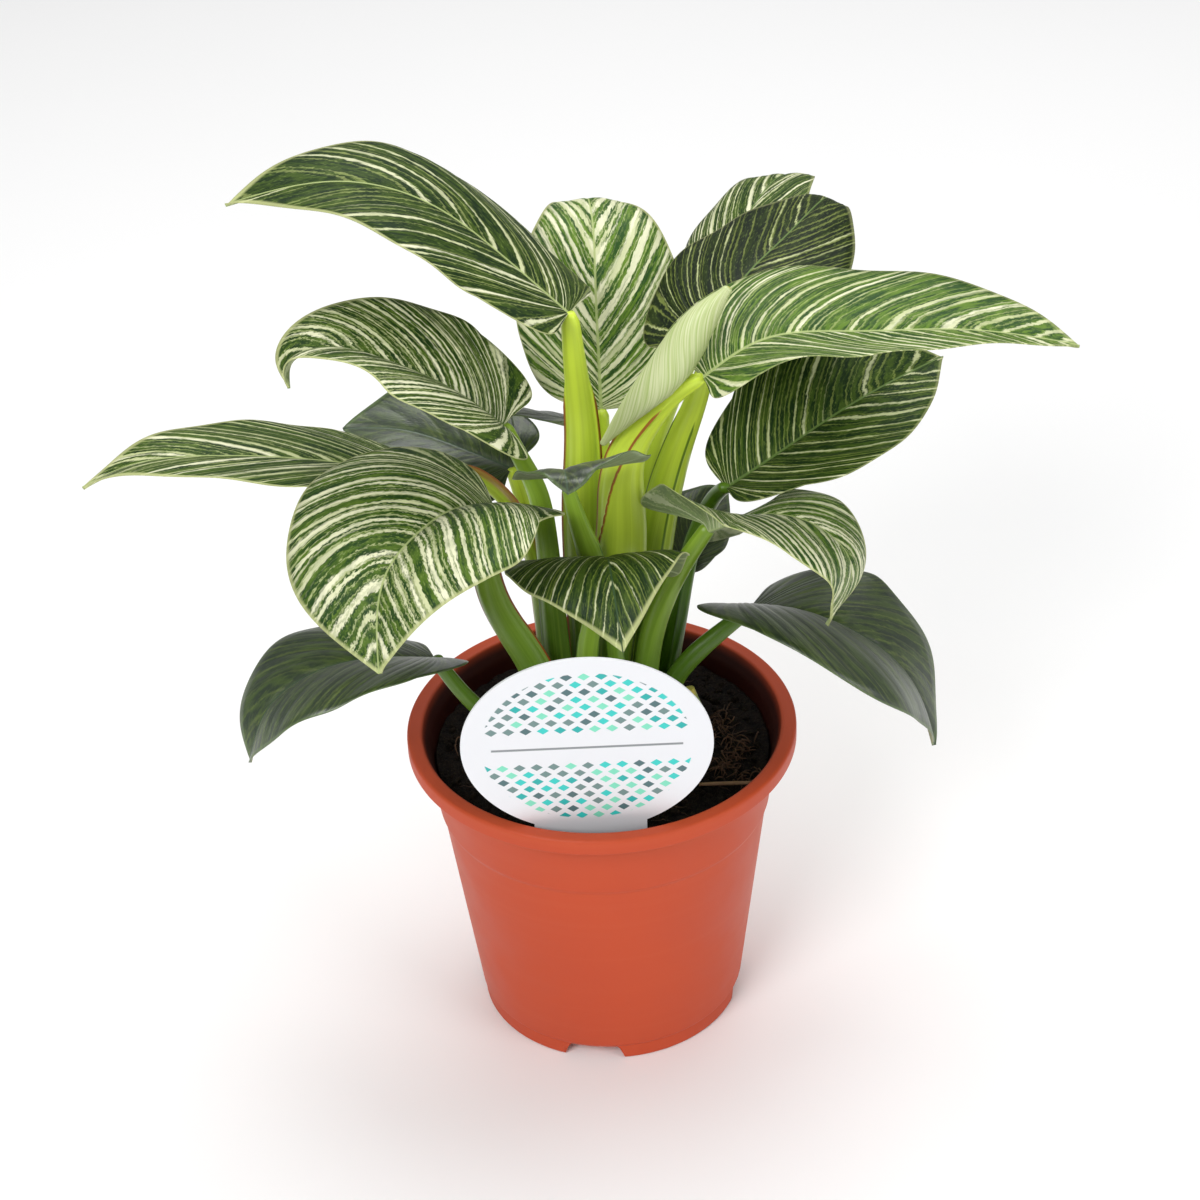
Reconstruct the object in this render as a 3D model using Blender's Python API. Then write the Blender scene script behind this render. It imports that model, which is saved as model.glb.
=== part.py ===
"""Potted philodendron: a pot of soil, a care label, and seventeen leaves with their petioles.

Metres, +Z up. The origin is the centre of the pot's underside, and -Y is the front, where the label
stands. Leaf and pot sizes below are in millimetres and become metres where a mesh is made.
"""

from collections import namedtuple
from math import cos, pi, radians, sin

import bmesh
import bpy
import numpy as np
from mathutils import Matrix, Vector
from mathutils.bvhtree import BVHTree

MM = 0.001
GAP = 0.3  # clearance between pieces that touch

# Pot: a standard twelve-centimetre nursery pot
RIM_RADIUS = 60.8
POT_HEIGHT = 103.0
NECK_RADIUS = 54.2  # outside of the wall, just under the rim
BASE_RADIUS = 42.5
WALL = 1.2
RIM_INNER_RADIUS = 56.2
RIM_SKIRT = 5.2
STEP_DROP = 27.0  # from the pot's top down to the moulded step
STEP_DEPTH = 0.6
FOOT_HEIGHT = 6.0
FOOT_SETBACK = 0.8
FLOOR_LOW = 3.5
NOTCH_COUNT = 4
NOTCH_WIDTH = 18.0
NOTCH_HEIGHT = 5.0
NOTCH_TURN = radians(-9.4)  # of the notch nearest the front, about Z
PAD_RADIUS = 9.0
DRAIN_COUNT = 8
DRAIN_RADIUS = 3.2
DRAIN_CIRCLE = 27.0
POT_SIDES = 64

# Soil and the rooted stem that the petioles stand on
SOIL_TOP = 94.0
STEM_RADIUS = 14.0
STEM_DEPTH = 12.0

# Label: a round card with a tab that is pushed into the soil inside the front wall
LABEL_RADIUS = 36.8
LABEL_THICKNESS = 0.8
LABEL_TILT = radians(11)
LABEL_BOTTOM = (-4.4, -48.5, 98.4)
TAB_WIDTH = 33.6
TAB_LENGTH = 42.0
TAB_TAPER = 8.0

# Blades
BLADE_ROWS = 12
BLADE_STEPS = (0.0, 0.35, 0.7, 1.0)  # from the midrib to the margin
BLADE_THICKNESS = (1.7, 0.9, 0.7, 0.5)
SINUS = 0.22  # how far along the blade its base lobes reach
TIP_POWER = 1.1  # how sharply the two halves narrow to the tip
VEIN_SWEEP = 2.0  # how much the veins crowd towards the base
PETIOLE_DEPTH = 0.8  # a petiole's depth as a share of its width

Leaf = namedtuple(
    "Leaf", "spine widths face fold tip_fold curl twist belly lobe petiole radii"
)
# spine: points along the midrib, base to tip. widths: each half's width, left and right of the midrib
# as seen from above looking to the tip. face: which way the upper side looks at the base. fold: each
# half's angle to the blade's level at the midrib, in degrees, at the base and at the tip. curl: how far
# each half bends on from there to its margin. twist: roll about the midrib, base to tip. belly: where
# the blade is widest, as a share of its length. petiole: points from the stem up to the blade.
LEAVES = {
    "upper_left": Leaf(
        [(-4, 5, 244), (-24, 13, 261), (-42, 16, 275), (-65, 16, 283), (-100, 15, 278)],
        (28, 32), (0.6, -0.3, 0.8), (10, 10), (11, 11), (-16, -50), (5, 3), 0.35, 10,
        [(-3, 6), (-3, 5, 146), (-3, 5, 178), (-2, 5, 204), (-3, 5, 226), (-5, 4, 242)],
        (5.0, 5.4, 5.6, 5.4, 4.0, 2.6)),
    "middle_left": Leaf(
        [(-24, -13, 218), (-39, -14, 232), (-58, -13, 242), (-74, -15, 247), (-83, -17, 244),
         (-84, -20, 237)],
        (28, 25), (0.5, -0.3, 0.8), (41, 22), (34, 20), (-42, -18), (0, 18), 0.38, 12,
        [(-11, -1), (-13, -4, 148), (-14, -7, 178), (-16, -9, 194), (-20, -11, 206), (-24, -13, 216)],
        (4.4, 4.2, 3.8, 3.4, 3.0, 2.2)),
    "far_left": Leaf(
        [(-49, 13, 187), (-77, 4, 199), (-109, -2, 206), (-133, -5, 206), (-149, -4, 198.5)],
        (22, 21), (0.0, -0.2, 1.0), (16, 11), (16, 11), (-17, -21), (12, 5), 0.39, 5,
        [(-15, 6), (-17, 7, 152), (-23, 8, 175), (-32, 10, 186), (-41, 12, 189), (-48, 13, 187)],
        (3.6, 3.6, 3.4, 2.6, 2.3, 2.0)),
    "front_left": Leaf(
        [(-28, -19, 194), (-39, -31, 202), (-49, -43, 202), (-58, -56, 197), (-61, -73, 175)],
        (38, 40), (0.0, -0.2, 1.0), (33, 28), (23, 12), (-44, -34), (8, 14), 0.42, 14,
        [(-12, -11), (-21, -12, 137), (-30, -13, 158), (-32, -14, 177), (-28, -17, 192)],
        (5.0, 5.3, 5.0, 3.6, 2.4)),
    "back_left": Leaf(
        [(-24, 27, 180), (-39, 35, 183), (-57, 41, 187), (-76, 45, 186)],
        (24, 24), (0.0, -0.4, 1.0), (12, 12), (12, 12), (-20, -20), (0, 0), 0.40, 8,
        [(-10, 12), (-13, 17, 131), (-18, 22, 156), (-23, 27, 178)],
        (3.0, 2.8, 2.5, 2.0)),
    "back_centre": Leaf(
        [(4, 20, 203), (4, 31, 218), (4, 43, 234), (4, 55, 247), (3, 69, 249), (3, 84, 236)],
        (25, 28), (0.0, -1.0, 0.3), (30, 22), (-10, -7), (-28, -24), (14, 3), 0.30, 3,
        [(1, 17), (2, 17, 138), (3, 18, 174), (4, 19, 201)],
        (4.0, 3.6, 3.2, 2.4)),
    "back_right": Leaf(
        [(38, 46, 216), (46, 63, 232), (55.5, 80, 241.5), (64.5, 93, 243), (70, 104, 229)],
        (23, 21.5), (-0.3, -0.8, 0.5), (2, 8), (-2, 8), (-40, -22), (-14, -15), 0.33, 6,
        [(12, 15), (12, 22, 126), (15, 31, 160), (24, 39, 190), (37, 45, 214)],
        (3.8, 3.6, 3.2, 2.8, 2.2)),
    "upper_right": Leaf(
        [(37, 8, 231), (46, 26, 240), (60, 44, 245), (71, 60, 247.5), (76, 69, 246), (77, 75, 238)],
        (28, 28), (-0.5, -0.7, 0.5), (4, 2), (5, -26), (-17, -23), (4, 1), 0.32, 11,
        [(8, 7), (14, 8, 130), (18, 8, 160), (23, 8, 185), (27, 8, 198), (32, 8, 212), (36, 8, 229)],
        (4.6, 5.0, 5.4, 5.8, 5.0, 3.6, 2.2)),
    "long_right": Leaf(
        [(33, -13, 231), (50, -7, 239), (77, -4, 239), (109, -8, 240), (139, -18, 239)],
        (31, 30), (-0.4, -0.1, 1.0), (19, 16), (18, 16), (-29, 8), (6, 3), 0.36, 12,
        [(3, -3), (6, -5, 150), (9, -6, 180), (11, -6, 202), (18, -7, 215), (26, -10, 225), (32, -13, 229)],
        (4.8, 5.4, 6.8, 7.6, 6.4, 4.2, 2.2)),
    "middle_right": Leaf(
        [(40, 2, 185), (53, 7, 191), (70, 14, 199), (88, 23, 205), (108, 35, 208)],
        (30, 29), (-0.5, -0.7, 0.5), (14, 24), (14, 24), (-10, -3), (-18, -4), 0.45, 7,
        [(16, 1), (25, 6, 138), (31, 14, 160.4), (35.5, 14, 171.6), (40, 2, 184)],
        (3.4, 3.2, 3.0, 2.6, 2.2)),
    "front_right": Leaf(
        [(34.5, -9.5, 179), (49, -16, 186.5), (63, -22.5, 187), (74, -29, 178), (67.5, -32, 156.7)],
        (20, 28), (-0.1, -0.2, 1.0), (-30, 60), (-16, 10), (-14, 0), (-18, 10, 8, 0, -10), 0.36, 19,
        [(13, -8), (16, -9, 138), (22, -10.5, 158), (33.5, -9.5, 178)],
        (4.0, 3.8, 3.4, 2.4)),
    "front_centre": Leaf(
        [(3, -19, 173), (4, -34, 185), (5, -49, 185), (7, -62, 171)],
        (24, 30), (0.0, -0.3, 1.0), (4, 10), (7, -1), (-20, -18), (-8, 18), 0.27, 12,
        [(-1, -15), (-3, -17, 142), (0, -19, 160), (3, -20, 171)],
        (3.6, 3.4, 3.0, 2.2)),
    "low_right": Leaf(
        [(46, 1, 141), (62, -9, 147), (78, -16, 143), (93, -17, 128), (102, -19, 102)],
        (25, 35), (0.0, -0.2, 1.0), (18, 34), (14, 26), (-9, -43), (-25, 1), 0.34, 9,
        [(21, -5), (23, -5, 121), (31, -4, 131), (44, 0, 139)],
        (3.2, 3.2, 3.1, 2.4)),
    "low_left": Leaf(
        [(-49, -18, 142), (-62, -25, 148), (-81, -31, 149), (-97, -37, 141), (-105, -41, 123)],
        (27, 23), (0.0, -0.2, 1.0), (18, 12), (18, 12), (-22, -22), (22, -6), 0.40, 9,
        [(-20, -14), (-30, -17, 114), (-38, -18, 124), (-48, -18, 140)],
        (2.8, 2.7, 2.6, 2.2)),
    "young_centre": Leaf(
        [(-7.3, -18.5, 203.6), (-7.2, -30, 211.2), (-7, -42, 219), (-6.7, -45, 218.6), (-6.4, -46.5, 214)],
        (25, 15), (0.0, 0.552, 0.834), (14, 2), (16, 0), (-10, -4), (0, 0), 0.35, 5,
        [(5, -13), (5, -13.4, 140), (1.6, -14, 165), (-3, -16, 182), (-7.3, -18.5, 202.3)],
        (2.2, 2.2, 2.4, 3.6, 1.6)),
    "shaded_right": Leaf(
        [(24.4, 14.6, 148), (28, 21.5, 155), (34, 30.5, 160), (43, 40, 162)],
        (12, 13), (0.0, -0.4, 1.0), (10, 10), (10, 10), (-20, -20), (0, 0), 0.40, 2,
        [(20, 12), (22.6, 13.4, 131), (24.4, 14.6, 146)],
        (2.6, 2.2, 1.8)),
    "shaded_left": Leaf(
        [(-5, 16, 202), (-16, 23, 201), (-28, 31, 199), (-41, 39, 196)],
        (16, 16), (0.0, 0.5, 0.83), (8, 8), (8, 8), (-20, -20), (0, 0), 0.36, 6,
        [(-8, 19), (-6, 19, 151), (-6, 17, 184), (-5, 16, 201)],
        (2.4, 2.2, 2.0, 1.6)),
}

# A rolled new leaf stands in the long right leaf's sheath, and a bud stands by the low right petiole
SPEAR = (
    [(3.8, -9.3, 208.2), (14, -12, 222.4), (23.4, -13.4, 234.2), (32.2, -13.4, 248.1), (41, -12.8, 258.9)],
    (0.8, 2.4, 4.0, 5.6, 6.6, 6.8, 6.0, 4.1, 1.0))
BUD = ([(28.8, -5.5), (28.5, -5.5, 107), (27.6, -6.3, 118.5)], (3.5, 4.1, 3.7, 1.4))

COLOURS = {
    "terracotta": (0.58, 0.12, 0.05), "soil": (0.02, 0.012, 0.008), "card": (0.85, 0.85, 0.86),
    "striped": (0.10, 0.22, 0.07), "plain": (0.03, 0.09, 0.03), "petiole": (0.25, 0.42, 0.05),
    "stem": (0.16, 0.20, 0.05), "new_leaf": (0.60, 0.72, 0.35),
}
PLAIN_LEAVES = ("back_left", "low_right", "low_left", "young_centre", "shaded_right", "shaded_left")


def material(name, roughness=0.5):
    found = bpy.data.materials.get(name)
    if found:
        return found
    made = bpy.data.materials.new(name)
    made.use_nodes = True
    shader = made.node_tree.nodes["Principled BSDF"]
    shader.inputs["Base Color"].default_value = (*COLOURS[name], 1)
    shader.inputs["Roughness"].default_value = roughness
    made.diffuse_color = (*COLOURS[name], 1)
    return made


def solid(name, points, faces, colour, smooth=True):
    """A mesh object from points in millimetres, its faces turned outward."""
    mesh = bpy.data.meshes.new(name)
    mesh.from_pydata([Vector(p) * MM for p in points], [], faces)
    shape = bmesh.new()
    shape.from_mesh(mesh)
    bmesh.ops.recalc_face_normals(shape, faces=shape.faces)
    bmesh.ops.triangulate(shape, faces=shape.faces)
    shape.to_mesh(mesh)
    shape.free()
    mesh.materials.append(material(colour))
    if smooth:
        mesh.shade_smooth()
        mesh.set_sharp_from_angle(angle=radians(35))
    made = bpy.data.objects.new(name, mesh)
    bpy.context.scene.collection.objects.link(made)
    return made


def cut(target, cutter):
    """Cuts one object from another and drops the cutter."""
    modifier = target.modifiers.new("cut", "BOOLEAN")
    modifier.operation = "DIFFERENCE"
    modifier.solver = "EXACT"
    modifier.object = cutter
    cutter.hide_render = True
    cutter.display_type = "WIRE"
    cutter.hide_set(True)


def turned(name, profile, colour, sides=POT_SIDES):
    """A body turned about Z from a closed profile of (radius, height) points; radius 0 is on the axis."""
    points, rings = [], []
    for radius, height in profile:
        if radius == 0:
            rings.append([len(points)] * sides)
            points.append((0, 0, height))
            continue
        rings.append(list(range(len(points), len(points) + sides)))
        turns = (2 * pi * k / sides for k in range(sides))
        points += [(radius * cos(turn), radius * sin(turn), height) for turn in turns]
    faces = []
    for low, high in zip(rings, rings[1:] + rings[:1]):
        for k in range(sides):
            ring = [low[k], low[(k + 1) % sides], high[(k + 1) % sides], high[k]]
            face = list(dict.fromkeys(ring))
            if len(face) > 2:
                faces.append(face)
    return solid(name, points, faces, colour)


def smooth_line(through, count):
    """Points at even spacing along a natural cubic spline through the given points, and its length."""
    knots = np.array(through, float)
    steps = np.linalg.norm(np.diff(knots, axis=0), axis=1)
    at = np.concatenate([[0], np.cumsum(steps)])
    system, target = np.eye(len(knots)), np.zeros((len(knots), 3))
    for i in range(1, len(knots) - 1):
        system[i, i - 1 : i + 2] = steps[i - 1], 2 * (steps[i - 1] + steps[i]), steps[i]
        rise = (knots[i + 1] - knots[i]) / steps[i] - (knots[i] - knots[i - 1]) / steps[i - 1]
        target[i] = 6 * rise
    bend = np.linalg.solve(system, target)
    where = np.linspace(0, at[-1], 8 * count)
    i = np.clip(np.searchsorted(at, where, side="right") - 1, 0, len(knots) - 2)
    back, ahead, step = (where - at[i])[:, None], (at[i + 1] - where)[:, None], steps[i][:, None]
    fine = (bend[i] * ahead**3 + bend[i + 1] * back**3) / (6 * step)
    fine += (knots[i] / step - bend[i] * step / 6) * ahead
    fine += (knots[i + 1] / step - bend[i + 1] * step / 6) * back
    run = np.concatenate([[0], np.cumsum(np.linalg.norm(np.diff(fine, axis=0), axis=1))])
    even = np.linspace(0, run[-1], count)
    return np.stack([np.interp(even, run, fine[:, axis]) for axis in range(3)], 1), run[-1]


def unit(vectors):
    return vectors / np.linalg.norm(vectors, axis=-1, keepdims=True)


def carried_frame(line, face, twist):
    """Tangent, right side and upper normal along a line: carried along without spin, then twisted."""
    tangents = unit(np.gradient(line, axis=0))
    normal, normals = np.array(face, float), []
    for tangent in tangents:
        normal = unit(normal - (normal @ tangent) * tangent)
        normals.append(normal)
    normals = np.array(normals)
    sides = np.cross(tangents, normals)
    share = np.linspace(0, 1, len(line))
    roll = np.radians(np.interp(share, np.linspace(0, 1, len(twist)), twist))[:, None]
    turned_normals = normals * np.cos(roll) + sides * np.sin(roll)
    return tangents, sides * np.cos(roll) - normals * np.sin(roll), turned_normals


def blade_point(leaf, line, length, frame, vein, out, side):
    """The point and upper normal where a vein has gone a share of its way from midrib to margin."""
    half = 0 if side < 0 else 1
    rise_power = TIP_POWER * leaf.belly / (1 - leaf.belly)
    peak = leaf.belly**rise_power * (1 - leaf.belly) ** TIP_POWER
    margin_x = leaf.widths[half] * vein**rise_power * (1 - vein) ** TIP_POWER / peak
    margin_y = length * vein - leaf.lobe * sin(pi * min(vein / SINUS, 1))
    start_y = length * vein**VEIN_SWEEP
    y = start_y + (margin_y - start_y) * (0.55 * out + 0.45 * out * out)
    x = margin_x * out
    share = min(max(y / length, 0), 1)
    place = share * (len(line) - 1)
    low = min(int(place), len(line) - 2)
    part = place - low
    tangents, sides, normals = frame
    mix = lambda rows: rows[low] * (1 - part) + rows[low + 1] * part
    sideways, up = unit(mix(sides)), unit(mix(normals))
    centre = mix(line) + min(y, 0) * tangents[0]
    angle = radians(leaf.fold[half] + (leaf.tip_fold[half] - leaf.fold[half]) * share)
    bend = radians(leaf.curl[half] or 0.01) / leaf.widths[half]
    end = angle + bend * x
    across, above = (sin(end) - sin(angle)) / bend, (cos(angle) - cos(end)) / bend
    point = centre + sideways * side * across + up * above
    return point, up * cos(end) - sideways * side * sin(end)


def blade(name, leaf):
    """A thin closed leaf: an upper and a lower skin that meet in a narrow wall round the margin."""
    line, length = smooth_line(leaf.spine, 60)
    frame = carried_frame(line, leaf.face, leaf.twist)
    columns = [(-1, k) for k in range(len(BLADE_STEPS) - 1, 0, -1)]
    columns += [(1, k) for k in range(len(BLADE_STEPS))]
    rows = [0.5 - 0.5 * cos(pi * (0.04 + 0.92 * k / (BLADE_ROWS - 1))) for k in range(BLADE_ROWS)]
    upper, lower = [], []
    for vein in [0.0, *rows, 1.0]:
        ends = vein in (0.0, 1.0)
        for side, k in [(1, 0)] if ends else columns:
            point, normal = blade_point(leaf, line, length, frame, vein, BLADE_STEPS[k], side)
            thickness = BLADE_THICKNESS[k] * (1 if vein < 1 else 0.4)
            upper.append(tuple(point))
            lower.append(tuple(point - normal * thickness))
    wide, below = len(columns), len(upper)
    last = below - 1
    grid = [[1 + row * wide + column for column in range(wide)] for row in range(BLADE_ROWS)]
    skin = [(0, b, a) for a, b in zip(grid[0], grid[0][1:])]
    for near, far in zip(grid, grid[1:]):
        skin += [(near[c], near[c + 1], far[c + 1], far[c]) for c in range(wide - 1)]
    skin += [(last, a, b) for a, b in zip(grid[-1], grid[-1][1:])]
    edge = [0, *(row[0] for row in grid), last, *(row[-1] for row in reversed(grid))]
    faces = skin + [tuple(below + i for i in reversed(face)) for face in skin]
    faces += [(a, b, below + b, below + a) for a, b in zip(edge, edge[1:] + edge[:1])]
    colour = "plain" if name in PLAIN_LEAVES else "striped"
    return solid(f"blade_{name}", upper + lower, faces, colour)


def ring_points(line, radii, sides, level_start=True):
    """Rings of points round a line, their radii read between the given ones."""
    tangents = unit(np.gradient(line, axis=0))
    if level_start:
        tangents[0] = (0, 0, 1)
    thick = np.interp(np.linspace(0, 1, len(line)), np.linspace(0, 1, len(radii)), radii)
    across, points = np.array((1.0, 0, 0)), []
    for centre, tangent, radius in zip(line, tangents, thick):
        across = unit(across - (across @ tangent) * tangent)
        other = np.cross(tangent, across)
        turns = (2 * pi * k / sides for k in range(sides))
        deep = other * PETIOLE_DEPTH
        points += [tuple(centre + radius * (across * cos(t) + deep * sin(t))) for t in turns]
    return points


def rod(name, line, radii, colour, sides=10, level_start=True):
    """A tapered round rod along a line of points."""
    faces, last = [], (len(line) - 1) * sides
    for low in range(0, last, sides):
        for k in range(sides):
            after = (k + 1) % sides
            faces.append((low + k, low + after, low + sides + after, low + sides + k))
    faces += [tuple(range(sides)), tuple(range(last, last + sides))]
    return solid(name, ring_points(line, radii, sides, level_start), faces, colour)


def on_soil(path):
    """The path with its first point put just above the soil."""
    return [(*path[0][:2], SOIL_TOP + GAP), *path[1:]]


def petiole(name, leaf, leaf_blade):
    """The leaf's stalk, run up from the stem until it stops a clearance short of the blade."""
    skin = bmesh.new()
    skin.from_mesh(leaf_blade.data)
    tree = BVHTree.FromBMesh(skin)
    full, _ = smooth_line([*on_soil(leaf.petiole)[:-1], leaf.spine[0]], 400)
    for stop in range(400, 300, -1):
        picks = np.linspace(0, stop - 1, 9).round().astype(int)
        rings = np.array(ring_points(full[picks], leaf.radii, 10))[-30:]
        ends = [full[stop - 1], *rings, *(rings[-10:] + full[stop - 1]) / 2]
        if min(tree.find_nearest(Vector(p) * MM)[3] for p in ends) > 1.4 * GAP * MM:
            break
    skin.free()
    return rod(f"petiole_{name}", full[picks], leaf.radii, "petiole")


def wall_radius(height, inset=0.0):
    """The pot wall's outer radius at a height, less an inset."""
    top = POT_HEIGHT - RIM_SKIRT
    radius = BASE_RADIUS + (NECK_RADIUS - BASE_RADIUS) * height / top
    if height < POT_HEIGHT - STEP_DROP:
        radius -= STEP_DEPTH * (1 - height / top)
    return radius - inset


def pot():
    skirt_low, neck = POT_HEIGHT - RIM_SKIRT, POT_HEIGHT - 1.6
    step = POT_HEIGHT - STEP_DROP
    foot_outer = wall_radius(FOOT_HEIGHT) - FOOT_SETBACK
    foot_inner = foot_outer - 2.2
    floor = FLOOR_LOW + 1.6
    profile = [
        (0, 0), (PAD_RADIUS, 0), (PAD_RADIUS, FLOOR_LOW), (foot_inner, FLOOR_LOW), (foot_inner, 0),
        (foot_outer, 0), (foot_outer, FOOT_HEIGHT - 0.8), (wall_radius(FOOT_HEIGHT), FOOT_HEIGHT),
        (wall_radius(step - 0.8), step - 0.8), (wall_radius(step + 0.8) + STEP_DEPTH, step + 0.8),
        (wall_radius(neck) + STEP_DEPTH, neck - 1.0), (RIM_RADIUS - 1.6, neck - 1.0),
        (RIM_RADIUS - 1.4, skirt_low), (RIM_RADIUS - 0.4, skirt_low), (RIM_RADIUS, skirt_low + 0.6),
        (RIM_RADIUS, POT_HEIGHT - 1.2), (RIM_RADIUS - 1.2, POT_HEIGHT), (RIM_INNER_RADIUS + 0.8, POT_HEIGHT),
        (RIM_INNER_RADIUS, POT_HEIGHT - 0.8), (wall_radius(neck - 3, WALL) + STEP_DEPTH, neck - 4),
        (wall_radius(step, WALL), step), (wall_radius(floor, WALL), floor), (0, floor),
    ]
    made = turned("pot", profile, "terracotta")
    for k in range(NOTCH_COUNT):
        cut(made, foot_notch(k, foot_outer))
    for k in range(DRAIN_COUNT):
        turn = 2 * pi * (k + 0.5) / DRAIN_COUNT
        place = (DRAIN_CIRCLE * cos(turn), DRAIN_CIRCLE * sin(turn))
        ring = [(DRAIN_RADIUS * cos(pi * j / 6), DRAIN_RADIUS * sin(pi * j / 6)) for j in range(12)]
        cut(made, prism(f"drain_cutter_{k}", ring, FLOOR_LOW - 1, floor + 1, place))
    return made


def foot_notch(k, foot_outer):
    """A cutter for one gap in the foot ring, narrower at its top."""
    reach = foot_outer + 4
    low, high = NOTCH_WIDTH / 2 + 1.2, NOTCH_WIDTH / 2 - 1.2
    section = [(-low, -1), (low, -1), (high, NOTCH_HEIGHT), (-high, NOTCH_HEIGHT)]
    points = [(x, y, z) for y in (foot_outer - 6, reach) for x, z in section]
    faces = [(0, 1, 2, 3), (4, 5, 6, 7)] + [(i, (i + 1) % 4, 4 + (i + 1) % 4, 4 + i) for i in range(4)]
    made = solid(f"notch_cutter_{k}", points, faces, "soil", smooth=False)
    made.rotation_euler[2] = pi + NOTCH_TURN + 2 * pi * k / NOTCH_COUNT
    return made


def prism(name, outline, low, high, place=(0, 0)):
    count = len(outline)
    points = [(x + place[0], y + place[1], z) for z in (low, high) for x, y in outline]
    faces = [tuple(range(count)), tuple(range(count, 2 * count))]
    faces += [(i, (i + 1) % count, count + (i + 1) % count, count + i) for i in range(count)]
    return solid(name, points, faces, "soil", smooth=False)


def soil():
    floor = FLOOR_LOW + 1.6 + GAP
    step = POT_HEIGHT - STEP_DROP
    well = SOIL_TOP - STEM_DEPTH
    profile = [
        (0, well - GAP), (0, floor), (wall_radius(floor, WALL + GAP), floor),
        (wall_radius(step, WALL + GAP), step), (wall_radius(SOIL_TOP, WALL + GAP), SOIL_TOP),
        (STEM_RADIUS + GAP, SOIL_TOP), (STEM_RADIUS + GAP, well - GAP),
    ]
    made = turned("soil", profile, "soil")
    cut(made, tab_slot())
    return made


def label_frame():
    """From the label's own plane, x right, y up and z towards the front, to its place in the pot."""
    return Matrix.Translation(Vector(LABEL_BOTTOM) * MM) @ Matrix.Rotation(pi / 2 + LABEL_TILT, 4, "X")


def label_outline(steps=40):
    half = TAB_WIDTH / 2
    start = np.arcsin(half / LABEL_RADIUS)
    turns = np.linspace(-pi / 2 + start, 3 * pi / 2 - start, steps)
    round_part = [(LABEL_RADIUS * cos(t), LABEL_RADIUS * (1 + sin(t))) for t in turns]
    tip = half - TAB_TAPER
    point = [(-half, 12 - TAB_LENGTH), (-tip, -TAB_LENGTH), (tip, -TAB_LENGTH), (half, 12 - TAB_LENGTH)]
    return round_part + point


def label():
    outline = label_outline()
    count = len(outline)
    points = [(x, y, z) for z in (0, LABEL_THICKNESS) for x, y in outline]
    faces = [tuple(range(count)), tuple(range(count, 2 * count))]
    faces += [(i, (i + 1) % count, count + (i + 1) % count, count + i) for i in range(count)]
    made = solid("plant_label", points, faces, "card", smooth=False)
    made.matrix_world = label_frame()
    return made


def tab_slot():
    """The slot in the soil that the label's tab stands in."""
    half, low, high = TAB_WIDTH / 2 + GAP, -TAB_LENGTH - GAP, 10
    depths = (-GAP, LABEL_THICKNESS + GAP)
    points = [(x, y, z) for z in depths for x, y in ((-half, low), (half, low), (half, high), (-half, high))]
    faces = [(0, 1, 2, 3), (4, 5, 6, 7)] + [(i, (i + 1) % 4, 4 + (i + 1) % 4, 4 + i) for i in range(4)]
    made = solid("tab_cutter", points, faces, "soil", smooth=False)
    made.matrix_world = label_frame()
    return made


def root_stem():
    low = SOIL_TOP - STEM_DEPTH
    profile = [
        (0, low), (STEM_RADIUS * 0.8, low), (STEM_RADIUS, low + 3), (STEM_RADIUS, SOIL_TOP - 1),
        (STEM_RADIUS - 1, SOIL_TOP), (0, SOIL_TOP),
    ]
    return turned("root_stem", profile, "stem", sides=32)


def main():
    for old in list(bpy.data.objects):
        bpy.data.objects.remove(old)
    pot()
    soil()
    label()
    root_stem()
    for name, leaf in LEAVES.items():
        petiole(name, leaf, blade(name, leaf))
    rod("new_leaf_spear", smooth_line(SPEAR[0], 12)[0], SPEAR[1], "new_leaf", level_start=False)
    rod("bud", smooth_line(on_soil(BUD[0]), 7)[0], BUD[1], "new_leaf")


main()
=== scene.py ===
"""Looks of the potted philodendron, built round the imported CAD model.

Lengths are in millimetres until a mesh is made. The origin is the centre of the pot's underside, +Z is
up and -Y is the front. The sizes and the leaf table repeat those that the CAD model is made from.
"""

from collections import namedtuple
from math import cos, pi, radians, sin

import bmesh
import bpy
import numpy as np
from mathutils import Matrix, Vector


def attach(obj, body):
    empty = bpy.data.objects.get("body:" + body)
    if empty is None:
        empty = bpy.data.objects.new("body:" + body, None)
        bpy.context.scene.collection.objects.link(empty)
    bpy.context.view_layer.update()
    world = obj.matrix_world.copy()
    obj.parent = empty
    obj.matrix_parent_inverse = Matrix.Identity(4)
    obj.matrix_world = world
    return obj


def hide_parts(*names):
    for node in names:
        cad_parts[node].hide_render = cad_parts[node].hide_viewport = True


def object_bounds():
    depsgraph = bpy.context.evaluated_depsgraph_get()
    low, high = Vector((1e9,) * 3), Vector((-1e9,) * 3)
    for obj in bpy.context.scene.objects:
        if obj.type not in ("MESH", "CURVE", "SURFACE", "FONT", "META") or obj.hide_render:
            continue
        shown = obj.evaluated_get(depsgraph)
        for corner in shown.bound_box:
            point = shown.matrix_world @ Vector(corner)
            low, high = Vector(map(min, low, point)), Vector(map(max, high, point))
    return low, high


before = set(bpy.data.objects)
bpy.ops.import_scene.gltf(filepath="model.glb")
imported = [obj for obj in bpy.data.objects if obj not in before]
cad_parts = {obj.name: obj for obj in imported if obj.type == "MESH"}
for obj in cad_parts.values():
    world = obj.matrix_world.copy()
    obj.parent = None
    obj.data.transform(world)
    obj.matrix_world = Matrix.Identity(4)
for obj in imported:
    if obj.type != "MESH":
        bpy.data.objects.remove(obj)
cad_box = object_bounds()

MM = 0.001

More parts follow.
